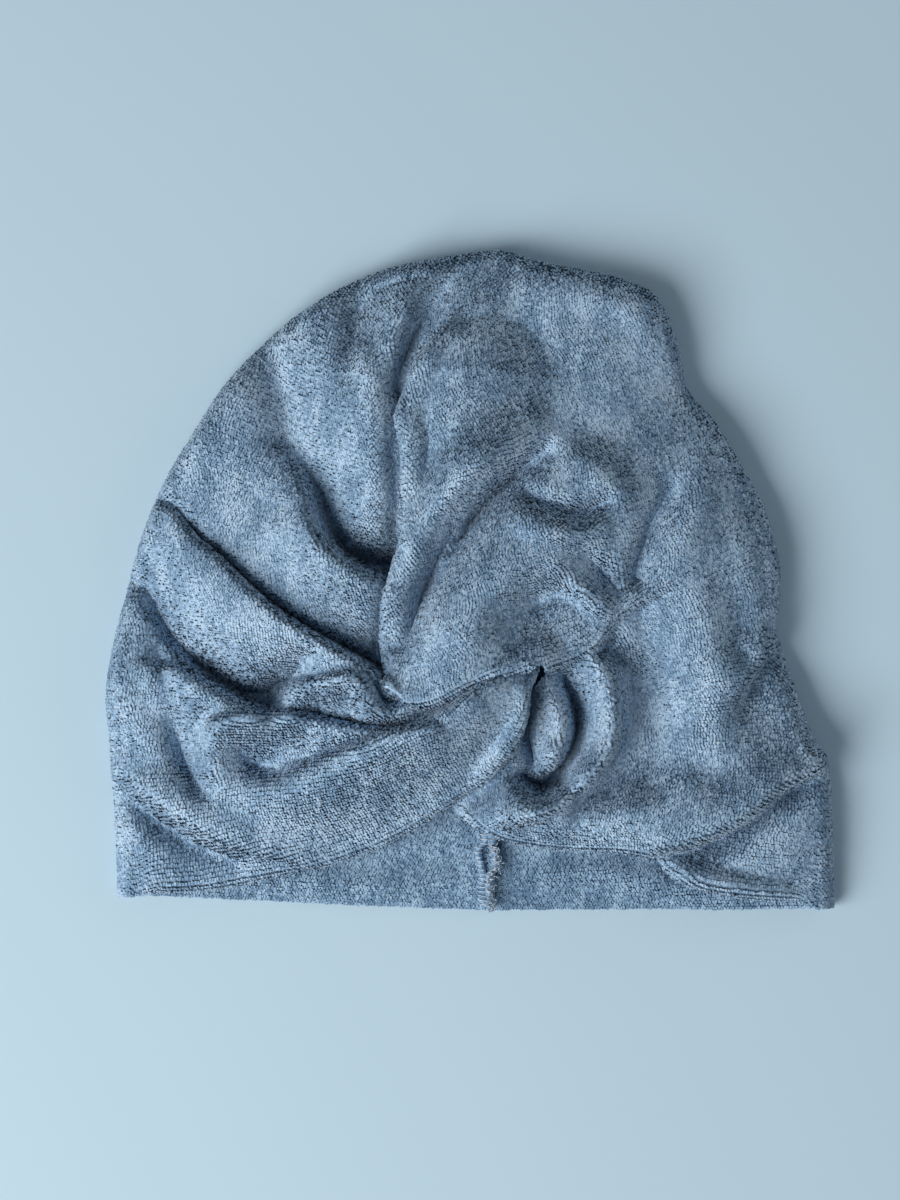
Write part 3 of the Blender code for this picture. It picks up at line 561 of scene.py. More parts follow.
def over_left(points):
    """1 where the left wrap lies, easing to 0 beside it."""
    beside = distance_to(points, LEFT_WRAP[::WRAP_STRIDE]) / BESIDE_RUN
    return np.where(inside(points, LEFT_WRAP), 1.0, smooth_step(1 - beside))


def edge_turn(from_end):
    """Share of half a turn that a free edge makes, by the distance from where the turn starts."""
    return EDGE_TURN * smooth_step(from_end / EDGE_RUN)


def layer_step(points, upper_edge):
    """Height between the middles of crossing layers: cloth, a clearance, and the upper edge's turn."""
    from_seam = np.linalg.norm(points - plan(CROWN_SEAM_END), axis=-1)
    drop = HEM_RADIUS * (1 - np.cos(edge_turn(from_seam) * math.pi))
    near_edge = 1 - smooth_step(distance_to(points, upper_edge) / EDGE_REACH - 0.5)
    return smooth_step(from_seam / CROSSING_RUN) * (LAYER_PITCH + LAYER_CLEARANCE + drop * near_edge)


def right_moves(points):
    """Lean and height of both parts of the right wrap, alike where no fold parts them."""
    over = wrap_moves(points, OVER_SWELL, OVER_FOLDS)
    under = wrap_moves(points, 0.0, UNDER_FOLDS)
    alike = smooth_step((points[..., 0] - ALIKE_FROM) / ALIKE_RUN)
    alike *= 0.5 * (1 - smooth_step(distance_to(points, TUCKED_LINE) / ALIKE_RUN))
    change = (under - over) * alike[..., None]
    return over + change, under - change


def over_moves(points):
    """The upper right wrap, lifted clear of the left wrap that it crosses."""
    own = right_moves(points)[0]
    lowest = left_moves(points)[..., 2] + layer_step(points, OVER_EDGE)
    above = own[..., 2] - lowest
    lifted = lowest + 0.5 * (above + np.sqrt(above ** 2 + LAYER_BLEND ** 2))
    own[..., 2] += (lifted - own[..., 2]) * over_left(points)
    return own


def under_moves(points):
    """The lower right wrap, kept clear under the left band."""
    own = right_moves(points)[1]
    kept = np.minimum(own[..., 2], left_moves(points)[..., 2] - layer_step(points, BAND_EDGE))
    own[..., 2] += (kept - own[..., 2]) * over_left(points)
    return own


def moved(points, moves):
    """Plan points leaned and raised by their moves."""
    return np.concatenate((points + moves[..., :2], moves[..., 2:]), axis=-1)


def patch(top, right, bottom, left):
    """Plan grid between four boundary curves: straight rows, plus the bows of the top and bottom curves."""
    s = np.linspace(0, 1, len(top))[None, :, None]
    t = np.linspace(0, 1, len(left))[:, None, None]
    across = (1 - s) * left[:, None] + s * right[:, None]
    top_bow = top[None] - (1 - s) * top[0] - s * top[-1]
    bottom_bow = bottom[None] - (1 - s) * bottom[0] - s * bottom[-1]
    return across + (1 - t) ** 2 * top_bow + t ** 2 * bottom_bow


def inset_edge(points, turns, hand):
    """A free edge moved in by the reach of its turn; hand is 1 where the cloth lies on its left."""
    way = np.gradient(points, axis=0)
    inward = np.stack((-way[:, 1], way[:, 0]), axis=1) * hand
    inward /= np.linalg.norm(inward, axis=1)[:, None]
    reach = HEM_RADIUS * np.sin(np.minimum(turns, 0.5) * math.pi) + CLOTH / 2 * np.minimum(2 * turns, 1)
    return points + inward * reach[:, None]


def side_roll(outer, inward, upper):
    """Half turns of cloth from the front's outer column round to the back, a row for each row."""
    bottom = CLOTH / 2
    angles = np.linspace(0, math.pi, ROLL_STEPS + 1)
    reach = np.linalg.norm(upper[:, :2] - outer, axis=1) - CLOTH / 2
    out = upper[:, None, :2] - inward[:, None] * (reach[:, None] * np.sin(angles)[None])[..., None]
    half = (upper[:, None, 2] - bottom) / 2
    height = bottom + half * (1 + np.cos(angles))[None]
    return np.concatenate((out, height[..., None]), axis=-1)


def hem(edge, inner, turns):
    """A free edge's roll: an arc from each edge point, down and under, away from the inner points."""
    run = edge[:, :2] - inner[:, :2]
    length = np.linalg.norm(run, axis=1)
    out = run / length[:, None]
    start = np.clip(np.arctan2(inner[:, 2] - edge[:, 2], length), -HEM_TILT, HEM_TILT)
    share = np.linspace(0, 1, HEM_STEPS + 1)[:, None]
    angles = start + share * turns * math.pi
    reach = HEM_RADIUS * (np.sin(angles) - np.sin(start))
    drop = HEM_RADIUS * (np.cos(start) - np.cos(angles))
    flat = edge[None, :, :2] + out[None] * reach[..., None]
    return np.concatenate((flat, (edge[None, :, 2] - drop)[..., None]), axis=-1)


def from_ends(points):
    """Distance of each point along the line from the nearer of its two ends."""
    along = lengths_along(points)
    return np.minimum(along, along[-1] - along)


def cells(length, size=CELL):
    """How many grid lines a length takes."""
    return int(round(length / size)) + 1


def left_wrap():
    """Grids of the left wrap: front, side roll and brim hem."""
    rows = cells(LEFT_OUTLINE.length)
    columns = cells(LEFT_WRAP_REACH)
    outer, inward = LEFT_OUTLINE.rows(np.linspace(0, LEFT_OUTLINE.length, rows))
    start = outer + inward * SIDE_FOLD_REACH
    seam_end = plan(CROWN_SEAM_END) - (SEAM_HALF_GAP, 0)
    seam = np.linspace(seam_end, start[0], columns)
    line = smooth_line(np.vstack((seam_end, plan(LEFT_HIDDEN))))
    share = np.linspace(0, 1, rows)
    bunched = share + HIDDEN_BUNCHING * share ** 2 * (1 - share)
    hidden = at_lengths(line, lengths_along(line)[-1] * bunched)
    brim = spaced_points(np.vstack((hidden[-1], plan(LEFT_BRIM), start[-1])), columns, LEFT_BRIM_BUNCHING)
    turns = edge_turn(from_ends(brim))
    brim = inset_edge(brim, turns, -1)
    grid = patch(seam, start, brim, hidden)
    front = moved(grid, left_moves(grid))
    front[:, -1, :2] = start
    roll = side_roll(outer, inward, front[:, -1])
    return [front, roll, hem(front[-1], front[-2], turns)]


def right_wrap():
    """Grids of the right wrap: over the left wrap, down beside its tip, and out under its band."""
    upper_line = smooth_line(np.vstack((plan(CROWN) + (SEAM_HALF_GAP, 0), plan(RIGHT_SIDE_UPPER))))
    tuck_from = lengths_along(upper_line)[-1]
    tuck_to = tuck_from + TUCK_RUN
    over_count = cells(tuck_from)
    tuck_count = cells(2 * TUCK_RUN)
    under_count = cells(RIGHT_OUTLINE.length - tuck_to)
    columns = cells(RIGHT_WRAP_REACH)
    wanted = np.concatenate((np.linspace(0, tuck_from, over_count),
                             np.linspace(tuck_from, tuck_to, tuck_count)[1:],
                             np.linspace(tuck_to, RIGHT_OUTLINE.length, under_count)[1:]))
    outer, inward = RIGHT_OUTLINE.rows(wanted)
    start = outer + inward * SIDE_FOLD_REACH
    seam_end = plan(CROWN_SEAM_END) + (SEAM_HALF_GAP, 0)
    seam = np.linspace(seam_end, start[0], columns)
    left_edge = spaced_points(np.vstack((seam_end, plan(RIGHT_EDGE))), over_count)
    free_columns = int(columns * FREE_SHARE)
    free = spaced_points(np.vstack((left_edge[-1], plan(OVER_EDGE_FREE))), free_columns)
    left_turns = edge_turn(lengths_along(left_edge))
    free_turns = edge_turn(lengths_along(free)[-1] - lengths_along(free))
    left_inset = inset_edge(left_edge, left_turns, 1)
    free_inset = inset_edge(free, free_turns, 1)
    corner_point = left_inset[-1] + free_inset[0] - free[0]
    left_edge = respaced(np.vstack((left_inset[:-CORNER_POINTS], corner_point)), over_count)
    free = respaced(np.vstack((corner_point, free_inset[CORNER_POINTS:])), free_columns)
    last_over = over_count - 1
    tucked = spaced_points(np.vstack((free[-1], plan(OVER_EDGE_TUCKED), start[last_over])),
                           columns - free_columns + 1)
    over_edge = np.vstack((free, tucked[1:]))
    over_grid = patch(seam, start[:over_count], over_edge, left_edge)
    over = moved(over_grid, over_moves(over_grid))
    over[:, -1, :2] = start[:over_count]

    way = np.gradient(tucked, axis=0)
    down = np.stack((way[:, 1], -way[:, 0]), axis=1)
    down /= np.linalg.norm(down, axis=1)[:, None]
    first_under = last_over + tuck_count - 1
    foot = tucked + down * TUCK_RUN
    foot = respaced(np.vstack((foot[:-CORNER_POINTS], start[first_under])), len(tucked))
    hidden = spaced_points(np.vstack((foot[0], plan(RIGHT_HIDDEN))), under_count)
    brim = spaced_points(np.vstack((hidden[-1], plan(RIGHT_BRIM), start[-1])), len(tucked),
                         RIGHT_BRIM_BUNCHING)
    brim_turns = edge_turn(from_ends(brim))
    brim = inset_edge(brim, brim_turns, 1)
    under_grid = patch(foot, start[first_under:], brim, hidden)
    under = moved(under_grid, under_moves(under_grid))
    under[:, -1, :2] = start[first_under:]

    share = np.linspace(0, 1, tuck_count)[:, None, None]
    tuck_plan = (1 - share) * over[-1, free_columns - 1:, :2] + share * under[0, :, :2]
    tuck_plan[:, -1] = start[last_over:first_under + 1]
    fall = smooth_step(share[..., 0])
    tuck_height = (1 - fall) * over[-1, free_columns - 1:, 2] + fall * under[0, :, 2]
    tuck = np.concatenate((tuck_plan, tuck_height[..., None]), axis=-1)

    left_hem = hem(over[:, 0], over[:, 1], left_turns).transpose(1, 0, 2)
    free_hem = hem(over[-1, :free_columns], over[-2, :free_columns], free_turns)
    corner = left_hem[-1][None] + free_hem[:, :1] - over[-1, 0]
    brim_hem = hem(under[-1], under[-2], brim_turns)
    column = np.vstack((over[:, -1], tuck[1:, -1], under[1:, -1]))
    roll = side_roll(outer, inward, column)
    return [over, left_hem, free_hem, corner, tuck], [under, brim_hem], [roll]


def back_half(outline):
    """Grid of one half of the back, from the side roll to the centre seam."""
    rows = cells(outline.length, BACK_CELL)
    outer, inward = outline.rows(np.linspace(0, outline.length, rows))
    inner_edge = outer + inward * SIDE_FOLD_REACH
    shift = (outline.hand * SEAM_HALF_GAP, 0)
    seam_top = plan(BACK_SEAM_TOP) + shift
    seam_end = plan(BACK_SEAM_END) + shift
    seam = np.linspace(seam_top, seam_end, rows)
    columns = cells(abs(inner_edge[-1, 0] - seam_end[0]), BACK_CELL)
    top = np.linspace(inner_edge[0], seam_top, columns)
    bottom = np.linspace(inner_edge[-1], seam_end, columns)
    grid = patch(top, seam, bottom, inner_edge)
    moves = fold_moves(grid, BACK_FOLDS)
    moves[..., 2] += CLOTH / 2
    return moved(grid, moves)


def srgb(colour):
    """Linear RGBA from an sRGB hex colour."""
    parts = [int(colour[index:index + 2], 16) / 255 for index in (1, 3, 5)]
    return [part / 12.92 if part <= 0.04045 else ((part + 0.055) / 1.055) ** 2.4 for part in parts] + [1.0]


def add_node(tree, kind, settings=None, inputs=None):
    """A node of a tree, with its settings and with its inputs set or linked."""
    node = tree.nodes.new(kind)
    for name, value in (settings or {}).items():
        setattr(node, name, value)
    for name, value in (inputs or {}).items():
        socket = node.inputs[name]
        if isinstance(value, bpy.types.NodeSocket):
            tree.links.new(value, socket)
        else:
            socket.default_value = value
    return node


def ramp(tree, value, stops):
    """A colour ramp over a value."""
    node = add_node(tree, "ShaderNodeValToRGB", inputs={"Fac": value})
    while len(node.color_ramp.elements) < len(stops):
        node.color_ramp.elements.new(0.5)
    for element, (place, colour) in zip(node.color_ramp.elements, stops):
        element.position = place
        element.color = srgb(colour)
    return node.outputs["Color"]


def terry_material(name, tones, streak_mm, sheen):
    """Melange cotton terry: dye streaks, single pale and dark yarns, and a matt pile with a pale sheen."""
    material = bpy.data.materials.new(name)
    material.use_nodes = True
    tree = material.node_tree
    shader = tree.nodes["Principled BSDF"]
    place = add_node(tree, "ShaderNodeTexCoord").outputs["Object"]
    # melange streaks: several mm long, drawn out along the wraps
    stretched = add_node(tree, "ShaderNodeMapping", inputs={
        "Vector": place, "Scale": (1.0, STREAK_STRETCH, 1.0)})
    streaks = add_node(tree, "ShaderNodeTexNoise", inputs={
        "Vector": stretched.outputs["Vector"], "Scale": 1000 / streak_mm, "Detail": 3.0, "Roughness": 0.6})
    # single yarns, about the width of a loop
    yarns = add_node(tree, "ShaderNodeTexNoise", inputs={
        "Vector": place, "Scale": 1000 / YARN_MM, "Detail": 1.0})
    tone = add_node(tree, "ShaderNodeMath", {"operation": "MULTIPLY_ADD"},
                    {0: yarns.outputs["Fac"], 1: YARN_CONTRAST, 2: -YARN_CONTRAST / 2})
    mixed = add_node(tree, "ShaderNodeMath", {"operation": "ADD"},
                     {0: tone.outputs[0], 1: streaks.outputs["Fac"]})
    colour = ramp(tree, mixed.outputs[0], list(zip(TONE_STOPS, tones)))
    # the pile's fibres, as fine bumps
    fibres = add_node(tree, "ShaderNodeTexNoise", inputs={
        "Vector": place, "Scale": 1000 / FIBRE_MM, "Detail": 2.0})
    bump = add_node(tree, "ShaderNodeBump", inputs={
        "Height": fibres.outputs["Fac"], "Strength": FIBRE_STRENGTH, "Distance": FIBRE_HEIGHT})
    # soft pile scatters light as the cloth under it faces, more than as each loop does
    facing = add_node(tree, "ShaderNodeAttribute", {"attribute_name": "facing"})
    cloth_way = add_node(tree, "ShaderNodeVectorMath", {"operation": "SCALE"}, {
        0: facing.outputs["Vector"], "Scale": PILE_SOFTNESS})
    summed = add_node(tree, "ShaderNodeVectorMath", {"operation": "ADD"}, {
        0: cloth_way.outputs[0], 1: bump.outputs["Normal"]})
    normal = add_node(tree, "ShaderNodeVectorMath", {"operation": "NORMALIZE"}, {0: summed.outputs[0]})
    tree.links.new(colour, shader.inputs["Base Color"])
    tree.links.new(normal.outputs[0], shader.inputs["Normal"])
    shader.inputs["Roughness"].default_value = PILE_ROUGHNESS
    shader.inputs["Specular IOR Level"].default_value = PILE_SPECULAR
    shader.inputs["Sheen Weight"].default_value = sheen
    shader.inputs["Sheen Roughness"].default_value = SHEEN_ROUGHNESS
    shader.inputs["Sheen Tint"].default_value = srgb(SHEEN_TINT)
    return material


def finished_mesh(name, sheet, material):
    """A smooth piece from a bmesh."""
    mesh = bpy.data.meshes.new(name)
    sheet.to_mesh(mesh)
    sheet.free()
    mesh.materials.append(material)
    mesh.shade_smooth()
    piece = bpy.data.objects.new(name, mesh)
    bpy.context.scene.collection.objects.link(piece)
    return piece


def cloth_piece(name, grids, material):
    """A closed sheet, joined from grids that meet at shared edges, with the cloth's thickness."""
    sheet = bmesh.new()
    for grid in grids:
        rows, columns = grid.shape[:2]
        points = [[sheet.verts.new(point) for point in row] for row in grid]
        for row in range(rows - 1):
            for column in range(columns - 1):
                sheet.faces.new((points[row][column], points[row + 1][column],
                                 points[row + 1][column + 1], points[row][column + 1]))
    bmesh.ops.remove_doubles(sheet, verts=sheet.verts, dist=WELD)
    bmesh.ops.recalc_face_normals(sheet, faces=sheet.faces)
    piece = finished_mesh(name, sheet, material)
    shell = piece.modifiers.new("Cloth", "SOLIDIFY")
    shell.thickness = CLOTH
    shell.offset = 0
    return piece


def loop_places(grid):
    """Places over a sheet's outer face for its loops, in knitted rows, with the way the face's nap looks."""
    row_lengths = np.linalg.norm(np.diff(grid, axis=0), axis=-1).mean(axis=1)
    row_at = np.concatenate(([0.0], np.cumsum(row_lengths)))
    wanted_rows = np.linspace(0, row_at[-1], max(2, int(row_at[-1] / LOOP_PITCH) + 1))
    lines = np.interp(wanted_rows, row_at, np.arange(len(row_at)))
    along = np.gradient(grid, axis=1)
    across = np.gradient(grid, axis=0)
    normal = np.cross(along, across)
    normal *= np.sign(normal[..., 2].sum() + normal[:, 0, 2].sum())
    places = []
    for count, line in enumerate(lines):
        low = min(int(line), len(grid) - 2)
        part = line - low
        row = (1 - part) * grid[low] + part * grid[low + 1]
        facing = (1 - part) * normal[low] + part * normal[low + 1]
        length = lengths_along(row)
        wanted = np.arange(LOOP_PITCH * (FIRST_LOOP + ROW_SHIFT * (count % 2)), length[-1], LOOP_PITCH)
        spot = at_lengths(row, wanted)
        face = np.stack([np.interp(wanted, length, facing[:, axis]) for axis in range(3)], axis=-1)
        face /= np.maximum(np.linalg.norm(face, axis=1), SHORTEST_NORMAL)[:, None]
        gain = 1 + (NAP_GAIN - 1) * np.clip(face[:, 2:], 0, 1)
        nap = face * np.hstack((gain, gain, np.ones_like(gain)))
        nap /= np.linalg.norm(nap, axis=1)[:, None]
        spot = spot + face * CLOTH / 2
        above_floor = spot[:, 2] + face[:, 2] * LOOP_REACH > FLOOR_CLEARANCE
        places.append(np.hstack((spot, nap))[above_floor])
    return np.vstack(places)


def loop_template():
    """One terry loop: an arch of flat yarn, 1 unit long and high, standing on the origin."""
    stations = [(-0.5, 0.0, 0.38), (-0.24, 0.95, 0.50), (0.24, 0.95, 0.50), (0.5, 0.0, 0.38)]
    mesh = bpy.data.meshes.new("loop")
    points = [(x, side * width, z) for x, z, width in stations for side in (-1, 1)]
    faces = [(2 * n, 2 * n + 2, 2 * n + 3, 2 * n + 1) for n in range(len(stations) - 1)]
    mesh.from_pydata(points, [], faces)
    template = bpy.data.objects.new("loop", mesh)
    bpy.context.scene.collection.objects.link(template)
    return template


def pile_tree():
    """Geometry Nodes: a loop on each place, upright on the cloth, each with its own size, turn and lean."""
    tree = bpy.data.node_groups.new("terry pile", "GeometryNodeTree")
    sockets = tree.interface
    for name, kind in (("Geometry", "Geometry"), ("Loop", "Object"), ("Height", "Float"), ("Span", "Float"),
                       ("Spread", "Float"), ("Seed", "Int"), ("Material", "Material")):
        sockets.new_socket(name, in_out="INPUT", socket_type="NodeSocket" + kind)
    sockets.new_socket("Geometry", in_out="OUTPUT", socket_type="NodeSocketGeometry")
    given = add_node(tree, "NodeGroupInput").outputs
    thinned = add_node(tree, "GeometryNodeMergeByDistance", inputs={
        "Geometry": given["Geometry"], "Distance": CLOSEST_LOOPS})
    spots = add_node(tree, "GeometryNodeMeshToPoints", inputs={"Mesh": thinned.outputs["Geometry"]})
    yarn = add_node(tree, "GeometryNodeObjectInfo", inputs={"Object": given["Loop"]})
    facing = add_node(tree, "GeometryNodeInputNamedAttribute", {"data_type": "FLOAT_VECTOR"},
                      {"Name": "facing"})
    lean = add_node(tree, "FunctionNodeRandomValue", {"data_type": "FLOAT_VECTOR"}, {
        "Min": (-LOOP_LEAN,) * 3, "Max": (LOOP_LEAN,) * 3, "Seed": given["Seed"]})
    leaning = add_node(tree, "ShaderNodeVectorMath", {"operation": "ADD"}, {
        0: facing.outputs["Attribute"], 1: lean.outputs[0]})
    spin = add_node(tree, "FunctionNodeRandomValue", {"data_type": "FLOAT_VECTOR"}, {
        "Min": (0, 0, -LOOP_SPIN), "Max": (0, 0, LOOP_SPIN), "Seed": given["Seed"]})
    upright = add_node(tree, "FunctionNodeAlignRotationToVector", {"axis": "Z"},
                       {"Vector": leaning.outputs[0]})
    turned = add_node(tree, "FunctionNodeRotateRotation", {"rotation_space": "LOCAL"}, {
        "Rotation": upright.outputs["Rotation"], "Rotate By": spin.outputs[0]})
    size = add_node(tree, "ShaderNodeCombineXYZ", inputs={
        "X": given["Span"], "Y": given["Span"], "Z": given["Height"]})
    vary = add_node(tree, "FunctionNodeRandomValue", {"data_type": "FLOAT"}, {
        2: 1.0, 3: given["Spread"], "Seed": given["Seed"]})
    scaled = add_node(tree, "ShaderNodeVectorMath", {"operation": "SCALE"}, {
        0: size.outputs[0], "Scale": vary.outputs[1]})
    standing = add_node(tree, "GeometryNodeInstanceOnPoints", inputs={
        "Points": spots.outputs["Points"], "Instance": yarn.outputs["Geometry"],
        "Rotation": turned.outputs["Rotation"], "Scale": scaled.outputs[0]})
    real = add_node(tree, "GeometryNodeRealizeInstances", inputs={"Geometry": standing.outputs["Instances"]})
    dyed = add_node(tree, "GeometryNodeSetMaterial", inputs={
        "Geometry": real.outputs["Geometry"], "Material": given["Material"]})
    add_node(tree, "NodeGroupOutput", inputs={"Geometry": dyed.outputs["Geometry"]})
    return tree


def set_input(modifier, name, value):
    """Sets a named input of a Geometry Nodes modifier by its socket's identifier."""
    for item in modifier.node_group.interface.items_tree:
        if item.item_type == "SOCKET" and item.in_out == "INPUT" and item.name == name:
            modifier[item.identifier] = value


def plain_mesh(piece):
    """Turns a piece with modifiers into a plain mesh."""
    evaluated = piece.evaluated_get(bpy.context.evaluated_depsgraph_get())
    mesh = bpy.data.meshes.new_from_object(evaluated)
    piece.modifiers.clear()
    piece.data = mesh
    return piece


def pile(name, grids, tree, template, material, seed):
    """The loops of one piece of cloth, as one mesh."""
    places = np.vstack([loop_places(grid) for grid in grids])
    mesh = bpy.data.meshes.new(name)
    mesh.from_pydata(places[:, :3].tolist(), [], [])
    facing = mesh.attributes.new("facing", "FLOAT_VECTOR", "POINT")
    facing.data.foreach_set("vector", places[:, 3:].ravel())
    piece = bpy.data.objects.new(name, mesh)
    bpy.context.scene.collection.objects.link(piece)
    loops = piece.modifiers.new("Pile", "NODES")
    loops.node_group = tree
    given = {"Loop": template, "Height": LOOP_HEIGHT, "Span": LOOP_SPAN, "Spread": LOOP_SPREAD,
             "Seed": seed, "Material": material}
    for socket, value in given.items():
        set_input(loops, socket, value)
    return plain_mesh(piece)


def seam_lip(hand, middle, widths):
    """Grid round one rolled lip of the seam allowance, a ring at each middle point."""
    angles = np.linspace(0, 2 * math.pi, LIP_SIDES + 1)
    ragged = np.random.default_rng(RAGGED_SEED + hand).normal(0, LIP_RAGGED[hand], (len(middle), LIP_SIDES))
    ragged = np.hstack((ragged, ragged[:, :1]))
    ends = np.sqrt(np.clip(from_ends(middle[:, :2]) / LIP_END, 0.0, 1.0))[:, None]
    across = widths[:, None] * (1 + ragged) * ends * np.cos(angles)[None]
    height = LIP_HEIGHT / 2 * (1 + ragged) * ends * np.sin(angles)[None]
    x = middle[:, :1] + across
    y = np.broadcast_to(middle[:, 1:2], x.shape)
    return np.stack((x, y, middle[:, 2:] + height), axis=-1)


def overlock(cloth, thread):
    """The seam allowance: two rolled lips, parted in an eye near the brim, and the threads round them."""
    middle = np.linspace(plan(BACK_SEAM_TOP), plan(BACK_SEAM_END), cells(SEAM_LENGTH, SEAM_CELL))
    from_brim = lengths_along(middle)[-1] - lengths_along(middle)
    opening = np.clip(1 - ((from_brim - EYE_FROM_BRIM) / (EYE_LENGTH / 2)) ** 2, 0, 1)
    parted = EYE_WIDTH / 2 * np.sqrt(opening)
    lip = LIP_WIDTH / 2 - EYE_THINNING * parted
    wander = SEAM_WANDER * np.sin(from_brim / WANDER_LENGTH)
    wander += EYE_SLANT * (from_brim - EYE_FROM_BRIM) * opening
    sheet = bmesh.new()
    threads = bmesh.new()
    chance = np.random.default_rng(STITCH_SEED)
    for hand in (-1, 1):
        level = SEAM_LEVEL + LIP_RISE[hand] * (1 - EYE_SETTLING * opening)
        x = middle[:, 0] + hand * (parted + LIP_APART * lip) - wander
        line = np.column_stack((x, middle[:, 1], level))
        grid = seam_lip(hand, line, lip)
        points = [[sheet.verts.new(point) for point in row[:-1]] for row in grid]
        for row in range(len(grid) - 1):
            for column in range(LIP_SIDES):
                after = (column + 1) % LIP_SIDES
                sheet.faces.new((points[row][column], points[row + 1][column],
                                 points[row + 1][after], points[row][after]))
        sheet.faces.new(points[0])
        sheet.faces.new(points[-1][::-1])
        for index in range(STITCH_EVERY, len(line) - STITCH_EVERY, STITCH_EVERY):
            add_stitch(threads, line[index], lip[index], hand, chance)
    for index in chance.integers(len(line) - TUFTED_POINTS, len(line), TUFTS):
        add_tuft(threads, line[index] + (chance.uniform(*TUFT_ACROSS) * lip[index], 0, 0), chance)
    bmesh.ops.recalc_face_normals(sheet, faces=sheet.faces)
    bmesh.ops.recalc_face_normals(threads, faces=threads.faces)
    lips = finished_mesh("back_seam_lips", sheet, cloth)
    return lips, finished_mesh("back_seam_threads", threads, thread)


def add_thread(threads, points):
    """A thin three-sided thread through points."""
    points = np.asarray(points)
    way = np.gradient(points, axis=0)
    way /= np.linalg.norm(way, axis=1)[:, None]
    side = np.cross(way, THREAD_ASIDE)
    side /= np.linalg.norm(side, axis=1)[:, None]
    other = np.cross(way, side)
    rings = []
    for point, first, second in zip(points, side, other):
        around = [math.cos(turn) * first + math.sin(turn) * second for turn in THREAD_CORNERS]
        rings.append([threads.verts.new(point + THREAD / 2 * way_out) for way_out in around])
    for first, second in zip(rings, rings[1:]):
        for corner in range(len(THREAD_CORNERS)):
            after = (corner + 1) % len(THREAD_CORNERS)
            threads.faces.new((first[corner], second[corner], second[after], first[after]))
    threads.faces.new(rings[0])
    threads.faces.new(rings[-1][::-1])


def add_stitch(threads, place, lip, hand, chance):
    """One overlock thread over a lip, from beside its inner edge round to under its outer edge."""
    slant = chance.uniform(*STITCH_SLANT) * MM
    proud = chance.uniform(*STITCH_PROUD) * MM
    share = np.linspace(0, 1, STITCH_POINTS)
    angles = math.pi * (STITCH_FROM + STITCH_TURN * share)
    add_thread(threads, np.column_stack((
        place[0] - hand * (lip + proud) * np.cos(angles),
        place[1] + slant * (share - 0.5),
        place[2] + (LIP_HEIGHT / 2 + proud) * np.sin(angles))))


def add_tuft(threads, place, chance):
    """One curl of loose thread on the raw edge."""
    lean = chance.normal(0, TUFT_LEAN, 2) * MM
    height = chance.uniform(*TUFT_HEIGHT) * MM
    share = np.linspace(0, 1, TUFT_POINTS)
    add_thread(threads, np.column_stack((
        place[0] + lean[0] * share + TUFT_CURL * np.sin(TUFT_WAVES * share),
        np.maximum(place[1] + lean[1] * share - TUFT_CURL * share ** 2, place[1] - TUFT_FORWARD),
        place[2] + LIP_HEIGHT / 3 + height * np.sin(TUFT_BEND * share))))


def cap():
    """The whole cap: each sheet with its pile, and the back seam, all riding the one body."""
    terry = terry_material("melange terry velour", ("#7896b2", "#98b6d1", "#b9d3ea"),
                           streak_mm=9.0, sheen=0.5)
    # the ground weave's tones are a little darker than the loops': painted shade in the gaps between the
    # loops
    ground = terry_material("melange terry ground weave", ("#7592af", "#93b1cd", "#b1cde5"),
                            streak_mm=9.0, sheen=0.3)
    inner = terry_material("melange terry, looped inside", ("#6a88a4", "#88a7c3", "#a6c4dd"),
                           streak_mm=7.0, sheen=0.4)
    thread = terry_material("fluffy overlock thread", ("#9db3c8", "#bccddd", "#dbe6ef"),
                            streak_mm=3.0, sheen=0.5)
    template = loop_template()
    tree = pile_tree()

    left = left_wrap()
    over, under, roll = right_wrap()
    left_cloth = cloth_piece("left_wrap_cloth", left, ground)
    over_cloth = cloth_piece("right_wrap_over_cloth", over + roll, ground)
    under_cloth = cloth_piece("right_wrap_under_cloth", under, ground)
    left_back = back_half(LEFT_OUTLINE)
    right_back = back_half(RIGHT_OUTLINE)
    left_back_cloth = cloth_piece("left_back_cloth", [left_back], ground)
    right_back_cloth = cloth_piece("right_back_cloth", [right_back], ground)

    over_front, left_hem, free_hem, _, tuck = over
    over_faces = [over_front, left_hem, free_hem, tuck]
    left_seen = left_back[-SEEN_BACK_ROWS:]
    right_seen = right_back[-SEEN_BACK_ROWS:]
    left_pile = pile("left_wrap_pile", left, tree, template, terry, seed=3)
    over_pile = pile("right_wrap_over_pile", over_faces, tree, template, terry, seed=5)
    under_pile = pile("right_wrap_under_pile", under + roll, tree, template, terry, seed=7)
    left_back_pile = pile("left_back_pile", [left_seen], tree, template, inner, seed=9)
    right_back_pile = pile("right_back_pile", [right_seen], tree, template, inner, seed=11)
    bpy.data.objects.remove(template)

    seam, stitches = overlock(inner, thread)

    # node, cloth, what lies on it, slot, flat size in metres and flat area in square metres
    finished = [
        ("left_wrap", left_cloth, left_pile, "terry_left", (0.23, 0.31), 0.0385),
        ("right_wrap", over_cloth, over_pile, "terry_right", (0.18, 0.25), 0.0242),
        ("right_wrap", under_cloth, under_pile, "terry_right", (0.18, 0.15), 0.0152),
        ("left_back", left_back_cloth, left_back_pile, "terry_inside", (0.13, 0.24), 0.026),
        ("right_back", right_back_cloth, right_back_pile, "terry_inside", (0.12, 0.24), 0.022),
        ("back_seam", seam, stitches, "overlock_thread", None, None),
    ]
    for node, cloth, loops, slot, flat, area in finished:
        for piece in (plain_mesh(cloth), loops):
            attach(piece, "root")
            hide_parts(node)


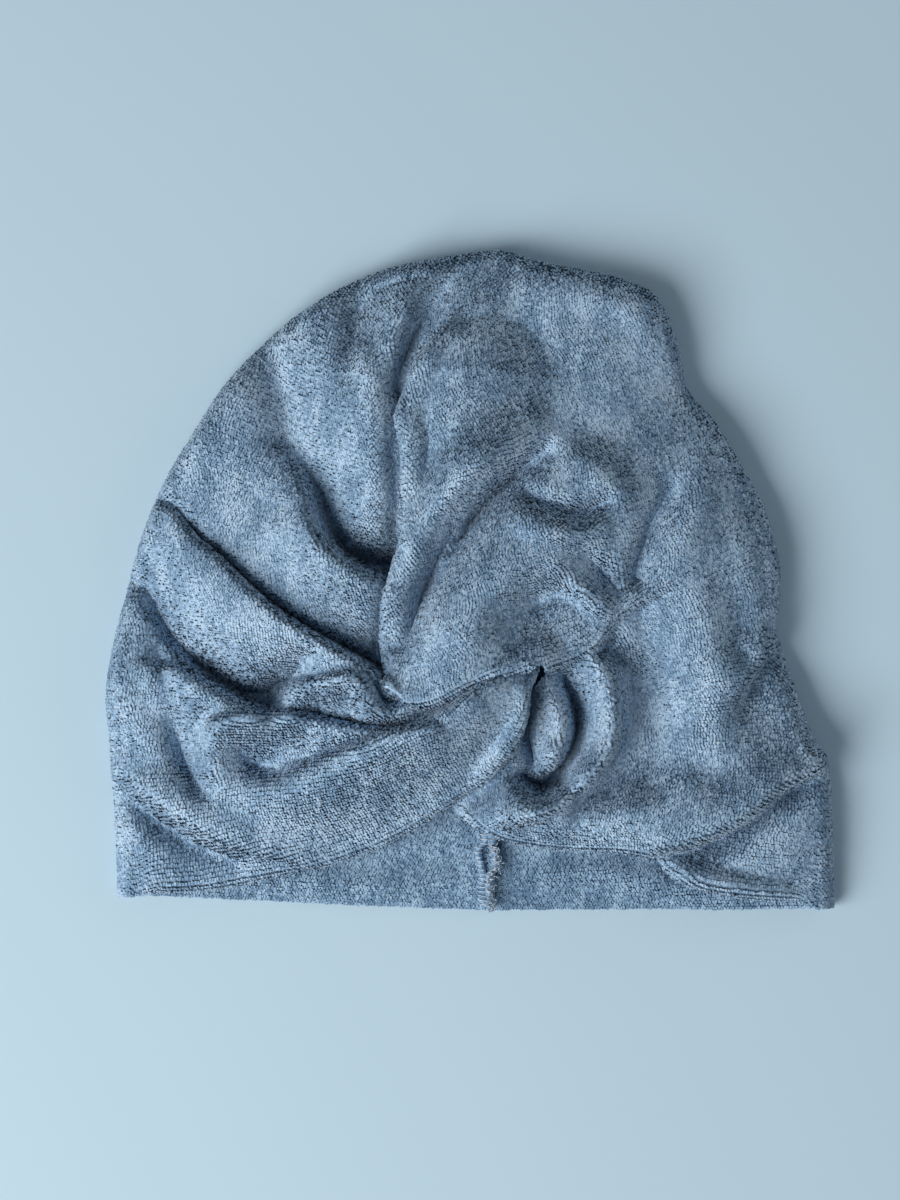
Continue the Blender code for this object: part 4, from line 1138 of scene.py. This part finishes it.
def photo_camera():
    """The camera straight above, framed as the photograph is."""
    lens = bpy.data.cameras.new("camera")
    camera = bpy.data.objects.new("camera", lens)
    bpy.context.scene.collection.objects.link(camera)
    look_at = plan(IMAGE_MIDDLE)
    view_height = IMAGE_HEIGHT * CAP_LENGTH / PHOTO_LENGTH
    camera.location = (look_at[0], look_at[1], CAMERA_HEIGHT)
    lens.sensor_fit = "VERTICAL"
    lens.sensor_height = SENSOR
    lens.lens = SENSOR * CAMERA_HEIGHT / view_height
    bpy.context.scene.camera = camera


def pale_floor():
    """The plain pale board that the cap lies on."""
    mesh = bpy.data.meshes.new("floor")
    corners = [(x * FLOOR_REACH, y * FLOOR_REACH, 0) for x, y in ((-1, -1), (1, -1), (1, 1), (-1, 1))]
    mesh.from_pydata(corners, [], [(0, 1, 2, 3)])
    floor = bpy.data.objects.new("floor", mesh)
    bpy.context.scene.collection.objects.link(floor)
    board = bpy.data.materials.new("matt pale blue board")
    board.use_nodes = True
    shader = board.node_tree.nodes["Principled BSDF"]
    shader.inputs["Base Color"].default_value = srgb("#bdd5e2")
    shader.inputs["Roughness"].default_value = 0.9
    mesh.materials.append(board)


def area_light(name, width, height, energy, place):
    """A soft rectangular light that faces the cap."""
    data = bpy.data.lights.new(name, "AREA")
    data.shape = "RECTANGLE"
    data.size = width
    data.size_y = height
    data.energy = energy
    light = bpy.data.objects.new(name, data)
    light.location = place
    light.rotation_euler = (-light.location).to_track_quat("-Z", "Y").to_euler()
    bpy.context.scene.collection.objects.link(light)


def daylight():
    """A window on the left towards the brim, a pale wall on the right, and a dim even room."""
    area_light("window", width=1.2, height=1.2, energy=30, place=(-1.00, -0.66, 1.15))
    area_light("pale wall", width=1.6, height=1.2, energy=4.5, place=(1.50, 0.35, 0.75))
    world = bpy.data.worlds.new("room")
    bpy.context.scene.world = world
    world.use_nodes = True
    background = world.node_tree.nodes["Background"]
    background.inputs["Color"].default_value = srgb("#dbe6ef")
    background.inputs["Strength"].default_value = 0.20
    bpy.context.scene.view_settings.view_transform = "Standard"


cap()
photo_camera()
pale_floor()
daylight()
